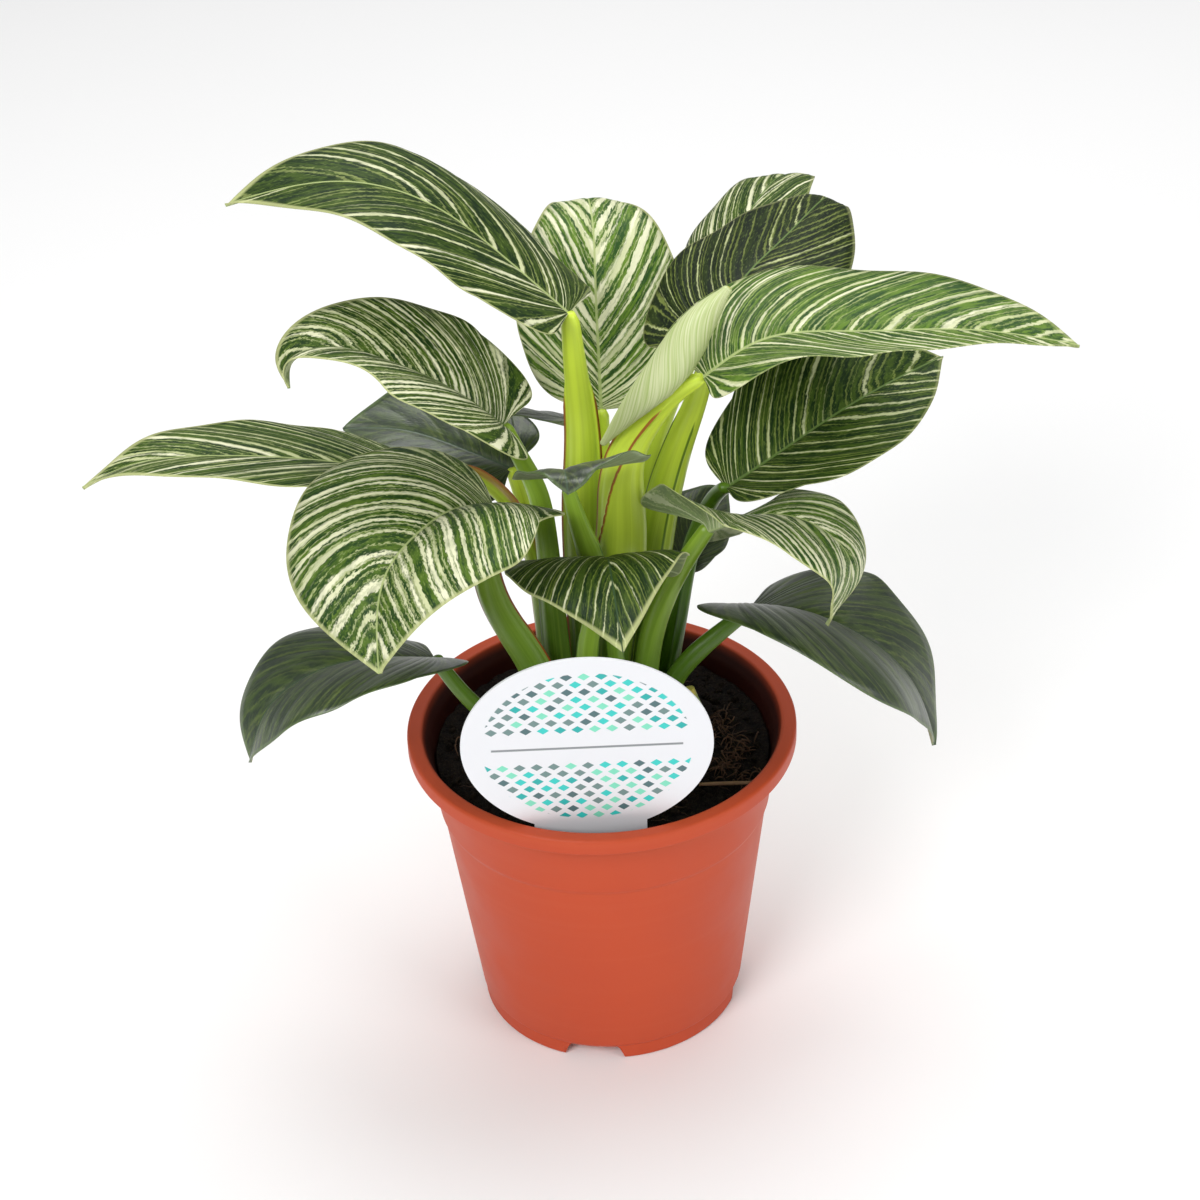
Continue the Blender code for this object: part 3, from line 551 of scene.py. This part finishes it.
def pot():
    """The pot, turned from its profile, with notches cut in the foot and holes in the floor."""
    skirt_low, neck = POT_HEIGHT - RIM_SKIRT, POT_HEIGHT - 1.6
    step = POT_HEIGHT - STEP_DROP
    foot_outer = wall_radius(FOOT_HEIGHT) - FOOT_SETBACK
    foot_inner = foot_outer - 2.2
    floor = FLOOR_LOW + 1.6
    corners = [
        (0, 0, 0), (PAD_RADIUS, 0, 0.4), (PAD_RADIUS, FLOOR_LOW, 0.4), (foot_inner, FLOOR_LOW, 0.5),
        (foot_inner, 0, 0.5), (foot_outer, 0, 0.7), (foot_outer, FOOT_HEIGHT - 0.8, 0.3),
        (wall_radius(FOOT_HEIGHT), FOOT_HEIGHT, 0.6),
        (wall_radius(step - 0.8), step - 0.8, 0.7), (wall_radius(step + 0.8) + STEP_DEPTH, step + 0.8, 0.7),
        (wall_radius(neck) + STEP_DEPTH, neck - 1.0, 0.8), (RIM_RADIUS - 1.6, neck - 1.0, 0.4),
        (RIM_RADIUS - 1.4, skirt_low, 0.1), (RIM_RADIUS, skirt_low, 0.5), (RIM_RADIUS, POT_HEIGHT, 1.3),
        (RIM_INNER_RADIUS, POT_HEIGHT, 0.9), (wall_radius(neck - 3, WALL) + STEP_DEPTH, neck - 4, 1.2),
        (wall_radius(step, WALL), step, 0.3), (wall_radius(floor, WALL), floor, 0.8), (0, floor, 0),
    ]
    made = turned("pot_body", rounded(corners))
    wide, narrow = NOTCH_WIDTH / 2 + 1.2, NOTCH_WIDTH / 2 - 1.2
    notch = [
        (-wide, -1), (wide, -1), (narrow + 0.4, NOTCH_HEIGHT - 1), (narrow - 0.5, NOTCH_HEIGHT),
        (0.5 - narrow, NOTCH_HEIGHT), (-narrow - 0.4, NOTCH_HEIGHT - 1),
    ]
    near, far = ([(x, y, z) for x, z in notch] for y in (foot_outer - 6, foot_outer + 4))
    for k in range(NOTCH_COUNT):
        cut(made, near, far, pi + NOTCH_TURN + 2 * pi * k / NOTCH_COUNT)
    circle = [DRAIN_RADIUS * np.array((cos(pi * j / 12), sin(pi * j / 12))) for j in range(24)]
    for k in range(DRAIN_COUNT):
        turn = 2 * pi * (k + 0.5) / DRAIN_COUNT
        hole = [DRAIN_CIRCLE * np.array((cos(turn), sin(turn))) + point for point in circle]
        cut(made, [(*point, FLOOR_LOW - 1) for point in hole], [(*point, floor + 1) for point in hole])
    mark_inner_shade(made)
    return made


def cut(target, near, far, turn=0):
    """Cuts the prism between two like outlines out of a target, turned about Z by an angle."""
    count = len(near)
    faces = [tuple(range(count)), tuple(range(count, 2 * count)), *band(0, count, count)]
    cutter = outward(new_mesh("cutter", [*near, *far], faces))
    cutter.rotation_euler[2] = turn
    modifier = target.modifiers.new("cut", "BOOLEAN")
    modifier.operation = "DIFFERENCE"
    modifier.solver = "EXACT"
    modifier.object = cutter
    bpy.context.view_layer.update()
    graph = bpy.context.evaluated_depsgraph_get()
    done = target.evaluated_get(graph)
    mesh = bpy.data.meshes.new_from_object(done, preserve_all_data_layers=True, depsgraph=graph)
    target.modifiers.clear()
    target.data = mesh
    mesh.shade_smooth()
    bpy.data.objects.remove(cutter)


def mark_inner_shade(made):
    """Marks the pot's inner wall for painted shade, from 1 in its depth to 0 at the top of the rim."""
    inner_shade = []
    for vertex in made.data.vertices:
        x, y, z = vertex.co / MM
        inward = -(vertex.normal.x * x + vertex.normal.y * y) / max(np.hypot(x, y), 1)
        inner_shade.append(min(1, (POT_HEIGHT - z) / 2) if inward > 0.5 and z > FLOOR_LOW + 2 else 0)
    made.data.attributes.new("inner_shade", "FLOAT", "POINT").data.foreach_set("value", inner_shade)


def soil_height(x, y):
    """Uneven soil, in millimetres above its mean level."""
    rough = 0.55 * np.sin(0.31 * x + 1.3) * np.sin(0.27 * y + 0.4) + 0.35 * np.sin(0.83 * x + 0.6 * y)
    rough += (0.3 * np.sin(1.9 * x - 1.1 * y + 2) * np.sin(1.4 * y + 0.7 * x)
              + 0.18 * np.sin(3.7 * x) * np.sin(4.1 * y + 1))
    return rough


def soil():
    """The soil: rings of points under an uneven surface, and a flat underside."""
    sides, ring_count, depth = 240, 90, 12
    edge, low = wall_radius(SOIL_TOP, WALL + 0.3), SOIL_TOP - depth
    points, faces = [(0, 0, SOIL_TOP - 0.5)], []
    turns = np.arange(sides) * 2 * pi / sides
    for radius in np.linspace(1, edge, ring_count):
        x, y = radius * np.cos(turns), radius * np.sin(turns)
        points += list(zip(x, y, SOIL_LEVEL + soil_height(x, y)))
    points += [((edge - 1.5) * cos(t), (edge - 1.5) * sin(t), low) for t in turns]
    points.append((0, 0, low))
    last = 1 + ring_count * sides
    for k in range(sides):
        faces.append((0, 1 + k, 1 + (k + 1) % sides))
    for a in range(1, last, sides):
        b = a + sides
        for k in range(sides):
            faces.append((a + k, b + k, b + (k + 1) % sides, a + (k + 1) % sides))
    for k in range(sides):
        faces.append((last + k, len(points) - 1, last + (k + 1) % sides))
    return outward(new_mesh("soil_body", points, faces))


def soil_crumbs():
    """Small rough lumps lying on the soil."""
    draw = np.random.default_rng(11).uniform
    edge = wall_radius(SOIL_TOP, WALL) - 1.5
    ball = bmesh.new()
    bmesh.ops.create_icosphere(ball, subdivisions=2, radius=1)
    shape = np.array([v.co[:] for v in ball.verts])
    corners = np.array([[v.index for v in f.verts] for f in ball.faces])
    ball.free()
    points, faces = [], []
    for k in range(620):
        size = draw(0.5, 1.7)
        stretch = draw(0.6, 1.3, 3) * (1, 1, 0.7)
        waves = np.sin(shape @ draw(-4, 4, (3, 2)) + draw(0, 6, 2)).sum(1)
        turn = Matrix.Rotation(draw(0, 6.28), 3, Vector(draw(-1, 1, 3)))
        lump = (shape * (1 + 0.35 * waves / 2)[:, None] * stretch * size) @ np.array(turn)
        radius = np.sqrt(draw(0, 1)) * (edge - size)
        aim = draw(0, 2 * pi)
        x, y = radius * cos(aim), radius * sin(aim)
        points.append(lump + (x, y, SOIL_LEVEL + soil_height(x, y) + 0.1 * size))
        faces.append(corners + k * len(shape))
    return new_mesh("soil_crumbs", np.concatenate(points), np.concatenate(faces).tolist())


def laid(x, y, aim, along, aside):
    """Ground places so far along and to the left of a heading, from a given place."""
    return x + along * cos(aim) - aside * sin(aim), y + along * sin(aim) + aside * cos(aim)


def tubes(name, lines, sides, taper=0.75):
    """Thin closed tubes in one mesh, thinner at their ends, from pairs of a line and a radius."""
    points, faces = [], []
    turns = np.arange(sides) * 2 * pi / sides
    for line, size in lines:
        tangents = unit(np.gradient(line, axis=0))
        first = len(points)
        for centre, tangent, share in zip(line, tangents, np.linspace(0, 1, len(line))):
            side = unit(np.cross(tangent, (0.01, 0, 1.0)))
            up = np.cross(side, tangent)
            here = size * (1 - taper + taper * sin(pi * share))
            start = len(points)
            points += [centre + here * (side * cos(t) + up * sin(t)) for t in turns]
            if share > 0:
                faces += band(start - sides, start, sides)
        faces += [tuple(range(first, first + sides)), tuple(range(len(points) - sides, len(points)))]
    return outward(new_mesh(name, points, faces))


def fibres(name, seed, count, lengths, thick, bend):
    """Thin bent fibres lying flat on the soil."""
    draw = np.random.default_rng(seed).uniform
    edge = wall_radius(SOIL_TOP, WALL) - 3
    steps = np.linspace(-0.5, 0.5, 9)
    lines = []
    for _ in range(count):
        length = draw(*lengths)
        radius = np.sqrt(draw(0.1, 1)) * (edge - length / 2)
        turn, aim = draw(0, 2 * pi), draw(0, 2 * pi)
        curve = draw(-bend, bend) * length
        x, y = laid(radius * cos(turn), radius * sin(turn), aim, length * steps, curve * steps**2)
        z = SOIL_TOP - 0.2 + soil_height(x, y) + draw(0.1, 0.7)
        lines.append((np.stack([x, y, z], 1), draw(*thick)))
    return tubes(name, lines, 6)


def tufts():
    """Loose brown tufts of fibre that stand a little out of the soil."""
    generator = np.random.default_rng(23)
    draw = generator.uniform
    steps = np.linspace(0, 1, 9)
    lines = []
    for middle, count in TUFTS:
        for _ in range(count):
            x, y = np.array(middle) + generator.normal(0, 2.6, 2)
            aim, length = draw(0, 2 * pi), draw(3, 7)
            rise, sway = draw(0.8, 2.6), draw(-2, 2)
            arch = np.sin(pi * steps)
            z = SOIL_LEVEL + rise * arch + soil_height(x, y)
            line = np.stack([*laid(x, y, aim, length * (steps - 0.5), sway * arch), z], 1)
            lines.append((line, draw(0.14, 0.34)))
    return tubes("fibre_tufts", lines, 5)


def label():
    """The card: a round head and a tab, with its edges slightly rounded on both faces."""
    half = TAB_WIDTH / 2
    start, tip = np.arcsin(half / LABEL_RADIUS), half - TAB_TAPER
    turns = np.linspace(-pi / 2 + start, 3 * pi / 2 - start, 160)
    outline = [(LABEL_RADIUS * cos(t), LABEL_RADIUS * (1 + sin(t))) for t in turns]
    outline += [(-half, 12 - TAB_LENGTH), (-tip, -TAB_LENGTH), (tip, -TAB_LENGTH), (half, 12 - TAB_LENGTH)]
    count = len(outline)
    middle = np.array((0, LABEL_RADIUS))
    points = []
    for share, z in ((0.997, 0.0), (1.0, 0.12), (1.0, LABEL_THICKNESS - 0.12), (0.997, LABEL_THICKNESS)):
        points += [(*(middle + share * (np.array(p) - middle)), z) for p in outline]
    faces = [tuple(reversed(range(count))), tuple(range(3 * count, 4 * count))]
    for ring in range(3):
        faces += band(ring * count, (ring + 1) * count, count)
    flat = np.array(points)
    attributes = {"card_x": flat[:, 0], "card_y": flat[:, 1] - LABEL_RADIUS, "card_z": flat[:, 2]}
    made = new_mesh("care_label", points, faces, attributes)
    made.data.set_sharp_from_angle(angle=radians(30))
    outward(made)
    place = Matrix.Translation(Vector(LABEL_BOTTOM) * MM) @ Matrix.Rotation(pi / 2 + LABEL_TILT, 4, "X")
    made.data.transform(place)
    return made


# ---- materials ----


class Paint:
    """Builds one node material. A number that is the same all over is set on the shader's own socket."""

    def __init__(self, name, **shader):
        self.material = bpy.data.materials.new(name)
        self.material.use_nodes = True
        self.tree = self.material.node_tree
        self.shader = self.tree.nodes["Principled BSDF"]
        for key, value in shader.items():
            self.shader.inputs[key.replace("_", " ")].default_value = value

    def node(self, kind, inputs=None, **settings):
        made = self.tree.nodes.new(kind)
        for key, value in settings.items():
            setattr(made, key, value)
        for key, value in (inputs or {}).items():
            socket = made.inputs[key]
            if isinstance(value, bpy.types.NodeSocket):
                self.tree.links.new(value, socket)
            else:
                socket.default_value = (*value, 1) if socket.type == "RGBA" else value
        return made

    def attributes(self, *names):
        return [self.node("ShaderNodeAttribute", attribute_name=name).outputs["Fac"] for name in names]

    def position(self):
        return self.node("ShaderNodeTexCoord").outputs["Object"]

    def math(self, operation, a, b=0):
        return self.node("ShaderNodeMath", {0: a, 1: b}, operation=operation).outputs[0]

    def plus(self, a, b):
        return self.math("ADD", a, b)

    def minus(self, a, b):
        return self.math("SUBTRACT", a, b)

    def times(self, a, b):
        return self.math("MULTIPLY", a, b)

    def vector(self, x, y, z):
        return self.node("ShaderNodeCombineXYZ", {0: x, 1: y, 2: z}).outputs[0]

    def vector_math(self, operation, a, b):
        return self.node("ShaderNodeVectorMath", {0: a, 1: b}, operation=operation).outputs[0]

    def noise(self, vector, scale=1, detail=2, roughness=0.5):
        inputs = {"Vector": vector, "Scale": scale, "Detail": detail, "Roughness": roughness}
        return self.node("ShaderNodeTexNoise", inputs).outputs["Fac"]

    def stretched(self, across, by_across, along, by_along, seed=0, detail=1):
        """Noise that is drawn out along one direction."""
        place = self.vector(self.times(across, by_across), self.times(along, by_along), seed)
        return self.noise(place, detail=detail)

    def chance(self, value):
        return self.node("ShaderNodeTexWhiteNoise", {"W": value}, noise_dimensions="1D").outputs["Value"]

    def step(self, value, low, high, out_low=0, out_high=1):
        """Goes smoothly from one number to another as a value goes from low to high."""
        inputs = {0: value, 1: low, 2: high, 3: out_low, 4: out_high}
        return self.node("ShaderNodeMapRange", inputs, interpolation_type="SMOOTHSTEP").outputs[0]

    def mix(self, share, a, b):
        return self.node("ShaderNodeMix", {0: share, 6: a, 7: b}, data_type="RGBA").outputs[2]

    def finished(self, colour, height=None, strength=0, distance_mm=0):
        """The material, with its colour and with a bump where a height is given."""
        self.tree.links.new(colour, self.shader.inputs["Base Color"])
        if height:
            inputs = {"Height": height, "Strength": strength, "Distance": distance_mm * MM}
            bump = self.node("ShaderNodeBump", inputs).outputs[0]
            self.tree.links.new(bump, self.shader.inputs["Normal"])
        return self.material


def vein_lines(paint, across, along, count, width, kept, seed):
    """How much of a pale line covers each place, and a random number for each line."""
    place = paint.plus(paint.times(across, count), seed)
    line = paint.math("FLOOR", place)
    share = paint.minus(place, line)
    first, second = paint.chance(line), paint.chance(paint.plus(line, 0.37))
    centre = paint.plus(paint.times(second, 0.4), 0.3)
    away = paint.math("ABSOLUTE", paint.minus(share, centre))
    shows = paint.step(first, 1 - kept, 1 - 0.9 * kept)
    swell = paint.stretched(line, 3.1, along, 2.2, seed)
    wide = paint.times(paint.step(swell, 0.25, 0.75, 0.45 * width, 1.25 * width), shows)
    wide = paint.times(wide, paint.step(across, 0.24, 0.02, 1, 1.5))
    cover = paint.step(paint.minus(wide, away), -0.02, 0.09)
    faint = paint.step(paint.stretched(line, 5.3, along, 4.5, seed), 0.28, 0.55, 0.7, 1)
    return paint.times(paint.times(cover, shows), faint), first


def leaf_skin(name, seed, side):
    """Green with pale lines that follow the veins, hair lines between, a margin and a midrib."""
    marks = MARKS[name]
    edge = 0.35 if name in FAINT_MARGINS else 0.78
    edge_width = 0.8 if name == "front_left" else 0.5
    if name in PLAIN:
        paint = Paint(f"{name}_{side}", Roughness=0.38, Specular_IOR_Level=0.8, Sheen_Weight=0.12)
        fleck_cover, hair_cover, line_cover, margin_colour = 0.1, 0.12, 0.14, PLAIN_MARGIN
    else:
        paint = Paint(f"{name}_{side}", Roughness=0.5, Specular_IOR_Level=0.18)
        fleck_cover, hair_cover = 0.25 + 0.45 * marks.broad, 0.32 + 0.33 * marks.broad
        line_cover, margin_colour = 0.92, LIME
    vein, out, from_midrib, to_margin = paint.attributes("vein", "out", "from_midrib", "to_margin")
    reach = paint.math("ABSOLUTE", out)
    offset = paint.plus(paint.times(paint.math("SIGN", out), 5), seed * 3.7 + 20)
    wander = paint.stretched(vein, 9, out, 2, seed, 2)
    fray = paint.stretched(vein, 9 * marks.lines, reach, 22, offset, 2)
    place = paint.plus(vein, paint.times(wander, 0.03))
    place = paint.plus(place, paint.times(fray, (0.2 + 0.3 * marks.broad) / marks.lines))
    grain = paint.stretched(place, 4 * marks.lines, reach, 4, offset, 2)
    greens = (Vector(colour) * marks.green for colour in (LEAF_DARK, LEAF_MID))
    colour = paint.mix(paint.step(grain, 0.38, 0.66), *greens)
    colour = paint.mix(paint.step(fray, 0.54, 0.7, 0, fleck_cover), colour, FLECK)
    cover, _ = vein_lines(paint, place, reach, 2.7 * marks.lines, 0.17, 0.78, offset)
    hair = Vector(PALE_GREEN).lerp(Vector(CREAM), 0.5 * marks.broad)
    colour = paint.mix(paint.times(cover, hair_cover), colour, hair)
    cover, pick = vein_lines(paint, place, reach, marks.lines, marks.width, marks.kept, offset)
    how_cream = paint.step(pick, 0, 1, 0.6 * marks.cream, marks.cream)
    colour = paint.mix(paint.times(cover, line_cover), colour, paint.mix(how_cream, PALE_GREEN, CREAM))
    if marks.broad:
        cover, _ = vein_lines(paint, place, reach, 0.55 * marks.lines, 0.12, marks.broad, offset)
        colour = paint.mix(cover, colour, CREAM)
    margin = paint.step(to_margin, edge_width, 0.15, 0, edge)
    colour = paint.mix(margin, colour, margin_colour)
    rib_width = paint.minus(1, paint.times(vein, 0.65))
    rib = paint.step(paint.math("DIVIDE", from_midrib, rib_width), 0.85, 0.35, 0, 0.85)
    colour = paint.mix(rib, colour, RIBS[marks.rib])
    if side == "under":
        colour = paint.mix(0.5, colour, UNDERSIDE)
    return paint.finished(colour, paint.plus(grain, fray), 0.25, 0.3)


def petiole_material(name, seed):
    """Glossy green to lime, finely ribbed lengthwise, with the margins of its sheath drawn as lines."""
    fins = FINS[name]
    low, high = PETIOLES[fins.tone]
    paint = Paint(f"{name}_petiole", Roughness=0.34, Specular_IOR_Level=0.45)
    around, along, proud = paint.attributes("around", "along", "proud")
    turn = paint.vector(paint.math("COSINE", around), paint.math("SINE", around), 0)
    shift = paint.vector(seed, paint.times(along, 0.7), paint.times(along, 1.2))
    streaks = lambda many: paint.vector_math("ADD", paint.vector_math("MULTIPLY", turn, [many] * 3), shift)
    ribs, cloud = paint.noise(streaks(7), detail=2), paint.noise(streaks(1.5), detail=1)
    colour = paint.mix(paint.step(along, 0.22, 0.78), low, high)
    colour = paint.mix(paint.step(cloud, 0.35, 0.65, 0, 0.25), colour, Vector(low) * 0.8)
    pale = Vector(high) + Vector((0.12, 0.12, 0.05))
    colour = paint.mix(paint.step(ribs, 0.45, 0.75, 0, 0.25), colour, pale)
    edge = paint.step(proud, 0.35 * fins.reach, 0.7 * fins.reach, 0, 0.9)
    colour = paint.mix(edge, colour, FIN_RED if fins.red else Vector(low) * 0.9)
    if name == "far_left":
        facing = paint.math("COSINE", paint.minus(around, radians(-5)))
        blush = paint.times(paint.step(facing, 0.35, 0.85), paint.step(along, 0.45, 0.65))
        colour = paint.mix(paint.times(blush, 0.8), colour, BLUSH)
    return paint.finished(colour, ribs, 0.15, 0.25)


def rolled_material():
    """Pale cream-green, with faint slanting veins and a yellow line on the free edge."""
    paint = Paint("rolled_leaf_skin", Roughness=0.42, Specular_IOR_Level=0.4)
    around, along, proud = paint.attributes("around", "along", "proud")
    slant = paint.plus(around, paint.times(along, 7))
    cover, _ = vein_lines(paint, slant, along, 3.2, 0.2, 0.8, 4)
    grain = paint.stretched(slant, 9, along, 3, 2, 2)
    colour = paint.mix(paint.step(grain, 0.35, 0.65), (0.5, 0.59, 0.24), (0.68, 0.73, 0.42))
    colour = paint.mix(paint.times(cover, 0.5), colour, (0.36, 0.5, 0.13))
    colour = paint.mix(paint.step(along, 0.35, 0, 0, 0.6), colour, (0.62, 0.7, 0.3))
    colour = paint.mix(paint.step(proud, -0.07, -0.03, 0, 0.85), colour, (0.62, 0.62, 0.14))
    return paint.finished(colour, grain, 0.2, 0.3)


def bud_material():
    """Pale green, mottled, with a yellow tip."""
    paint = Paint("bud_skin", Roughness=0.5, Specular_IOR_Level=0.35)
    around, along = paint.attributes("around", "along")
    grain = paint.stretched(around, 3, along, 5, 1, 2)
    colour = paint.mix(paint.step(grain, 0.35, 0.65), (0.14, 0.23, 0.045), (0.33, 0.42, 0.13))
    yellow = paint.times(paint.step(along, 0.84, 0.96), paint.step(grain, 0.3, 0.55))
    return paint.finished(paint.mix(yellow, colour, (0.62, 0.52, 0.09)), grain, 0.3, 0.3)


def pot_material():
    """Matt moulded plastic with faint flow marks, and painted shade on the inner wall."""
    paint = Paint("moulded_terracotta", Specular_IOR_Level=0.25)
    place = paint.position()
    cloud = paint.noise(place, 28, 3, 0.6)
    fine = paint.noise(place, 900, 2, 0.5)
    rings = paint.noise(paint.vector_math("MULTIPLY", place, (4, 4, 260)), 1, 2, 0.5)
    colour = paint.mix(cloud, (0.5, 0.062, 0.02), (0.56, 0.08, 0.027))
    colour = paint.mix(paint.step(rings, 0.5, 0.7, 0, 0.12), colour, (0.58, 0.11, 0.045))
    # painted shade: the inner wall is darkened to stand in for the shade that the rim and foliage cast into
    # the pot
    inner_shade = paint.step(*paint.attributes("inner_shade"), 0, 0.8, 0, 0.97)
    colour = paint.mix(inner_shade, colour, (0.03, 0.005, 0.004))
    paint.tree.links.new(paint.step(cloud, 0.3, 0.7, 0.42, 0.56), paint.shader.inputs["Roughness"])
    return paint.finished(colour, fine, 0.12, 0.12)


def earth_material(name, dark, light, scale):
    paint = Paint(name, Roughness=0.95, Specular_IOR_Level=0.2)
    place = paint.position()
    grain, spots = paint.noise(place, scale, 6, 0.7), paint.noise(place, scale * 3.1, 2, 0.5)
    colour = paint.mix(paint.step(grain, 0.35, 0.7), dark, light)
    colour = paint.mix(paint.step(spots, 0.62, 0.72, 0, 0.5), colour, Vector(light) * 1.8)
    return paint.finished(colour, paint.plus(grain, spots), 1, 1.2)


def label_material():
    """White card with two plain printed fields of small lozenges in greens, and nothing written on it."""
    paint = Paint("printed_card", Roughness=0.35, Specular_IOR_Level=0.4)
    x, y, z = paint.attributes("card_x", "card_y", "card_z")
    rows_up = paint.math("DIVIDE", y, ROW)
    row = paint.math("FLOOR", rows_up)
    shifted = paint.plus(paint.math("DIVIDE", x, COLUMN), paint.times(row, 0.5))
    column = paint.math("FLOOR", shifted)
    across = paint.math("ABSOLUTE", paint.minus(paint.minus(shifted, column), 0.5))
    upward = paint.math("ABSOLUTE", paint.minus(rows_up, paint.plus(row, 0.5)))
    lozenge = paint.step(paint.plus(paint.times(across, 1.25), paint.times(upward, 0.95)), 0.47, 0.43)
    pick = paint.chance(paint.plus(paint.times(row, 17.3), column))
    radius = paint.math("SQRT", paint.plus(paint.times(x, x), paint.times(y, y)))
    from_middle = paint.math("ABSOLUTE", y)
    field = paint.step(radius, FIELD_RADIUS, FIELD_RADIUS - 0.4)
    field = paint.times(field, paint.step(from_middle, FIELD_GAP, FIELD_GAP + 0.2))
    front = paint.step(z, LABEL_THICKNESS - 0.1, LABEL_THICKNESS - 0.05)
    ramp = paint.node("ShaderNodeValToRGB", {0: pick})
    ramp.color_ramp.interpolation = "CONSTANT"
    points = ramp.color_ramp.elements
    while len(points) < len(INKS):
        points.new(0.5)
    for k, ink in enumerate(INKS):
        points[k].position = k / len(INKS)
        points[k].color = (*ink, 1)
    colour = paint.mix(paint.times(paint.times(lozenge, field), front), CARD, ramp.outputs[0])
    rule = paint.step(from_middle, RULE_HALF, RULE_HALF - 0.1)
    rule = paint.times(rule, paint.step(radius, RULE_RADIUS, RULE_RADIUS - 0.2))
    return paint.finished(paint.mix(paint.times(rule, front), colour, CARD_RULE))


def plain_material(name, dark, light, scale, roughness):
    paint = Paint(name, Roughness=roughness)
    grain = paint.noise(paint.position(), scale, 4, 0.6)
    return paint.finished(paint.mix(grain, dark, light), grain, 0.4, 0.4)


# ---- scene ----


def add_camera():
    camera = bpy.data.objects.new("camera", bpy.data.cameras.new("camera"))
    camera.data.sensor_width, camera.data.lens = 36, CAMERA_LENS
    tilt = Matrix.Rotation(pi / 2 - CAMERA_ELEVATION, 4, "X") @ Matrix.Rotation(CAMERA_ROLL, 4, "Z")
    back = Matrix.Translation((0, 0, CAMERA_DISTANCE))
    camera.matrix_world = Matrix.Translation(CAMERA_AIM) @ tilt @ back
    scene.collection.objects.link(camera)
    scene.camera = camera


def add_light(name, place, aim, size, power):
    lamp = bpy.data.lights.new(name, "AREA")
    lamp.shape, lamp.size, lamp.energy = "DISK", size, power
    made = bpy.data.objects.new(name, lamp)
    made.location = place
    made.rotation_euler = (Vector(aim) - Vector(place)).to_track_quat("-Z", "Y").to_euler()
    scene.collection.objects.link(made)


def add_studio():
    """A pale floor just under the pot, an even white surround and three soft lights."""
    reach, drop, surround = 4, 0.0002, 0.36
    floor = bpy.data.meshes.new("floor")
    corners = [(-reach, -reach, 0), (reach, -reach, 0), (reach, reach, 0), (-reach, reach, 0)]
    floor.from_pydata(corners, [], [(0, 1, 2, 3)])
    floor_object = bpy.data.objects.new("floor", floor)
    floor_object.location.z = cad_box[0][2] - drop
    floor.materials.append(plain_material("floor_paint", (0.95, 0.95, 0.95), (0.97, 0.97, 0.97), 3, 0.9))
    scene.collection.objects.link(floor_object)
    world = bpy.data.worlds.new("studio")
    world.use_nodes = True
    world.node_tree.nodes["Background"].inputs["Color"].default_value = (1, 1, 1, 1)
    world.node_tree.nodes["Background"].inputs["Strength"].default_value = surround
    scene.world = world
    add_light("overhead", place=(0.1, 0.45, 1.5), aim=(0, 0, 0.1), size=1.3, power=14)
    add_light("key", place=(-0.7, -1.2, 1.2), aim=(0, 0, 0.12), size=0.8, power=15)
    add_light("fill", place=(1.1, -0.9, 0.8), aim=(0, 0, 0.12), size=0.8, power=6)
    scene.view_settings.view_transform = "Standard"


def main():
    add_camera()
    add_studio()
    for seed, (name, leaf) in enumerate(LEAVES.items()):
        slot = "plain_leaf" if name in PLAIN else "striped_leaf"
        skins = [leaf_skin(name, seed, side) for side in ("upper", "under")]
        finish_piece(blade(name, leaf, seed), [f"blade_{name}"], slot, *skins)
        finish_piece(petiole(name, leaf), [f"petiole_{name}"], "petiole", petiole_material(name, seed))
    for piece, nodes, slot, material in (
        (new_leaf(), ["new_leaf_spear"], "new_leaf", rolled_material()),
        (bud(), ["bud"], "new_leaf", bud_material()),
        (pot(), ["pot"], "terracotta_plastic", pot_material()),
        (soil(), ["soil"], "potting_soil",
         earth_material("damp_soil", (0.003, 0.002, 0.002), (0.017, 0.01, 0.007), 350)),
        (soil_crumbs(), [], "potting_soil",
         earth_material("soil_lumps", (0.004, 0.003, 0.002), (0.024, 0.014, 0.009), 500)),
        (fibres("dark_fibres", seed=5, count=150, lengths=(4, 12), thick=(0.12, 0.3), bend=0.5), [],
         "potting_soil", plain_material("dark_fibre", (0.02, 0.01, 0.006), (0.07, 0.035, 0.018), 300, 0.9)),
        (fibres("pale_fibres", seed=8, count=9, lengths=(4, 11), thick=(0.15, 0.3), bend=0.3), [],
         "potting_soil", plain_material("pale_fibre", (0.12, 0.06, 0.03), (0.26, 0.15, 0.08), 300, 0.85)),
        (tufts(), [], "potting_soil",
         plain_material("tuft_fibre", (0.03, 0.014, 0.007), (0.13, 0.06, 0.028), 400, 0.9)),
        (tubes("straw", [(np.linspace(*STRAW, 9), 0.62)], 8, taper=0.15), [], "potting_soil",
         plain_material("dry_straw", (0.22, 0.12, 0.06), (0.36, 0.21, 0.12), 300, 0.7)),
        (crown(), ["root_stem"], "stem",
         plain_material("crown_skin", (0.1, 0.12, 0.03), (0.18, 0.2, 0.06), 200, 0.7)),
        (label(), ["plant_label"], "label_card", label_material()),
    ):
        finish_piece(piece, nodes, slot, material)


main()
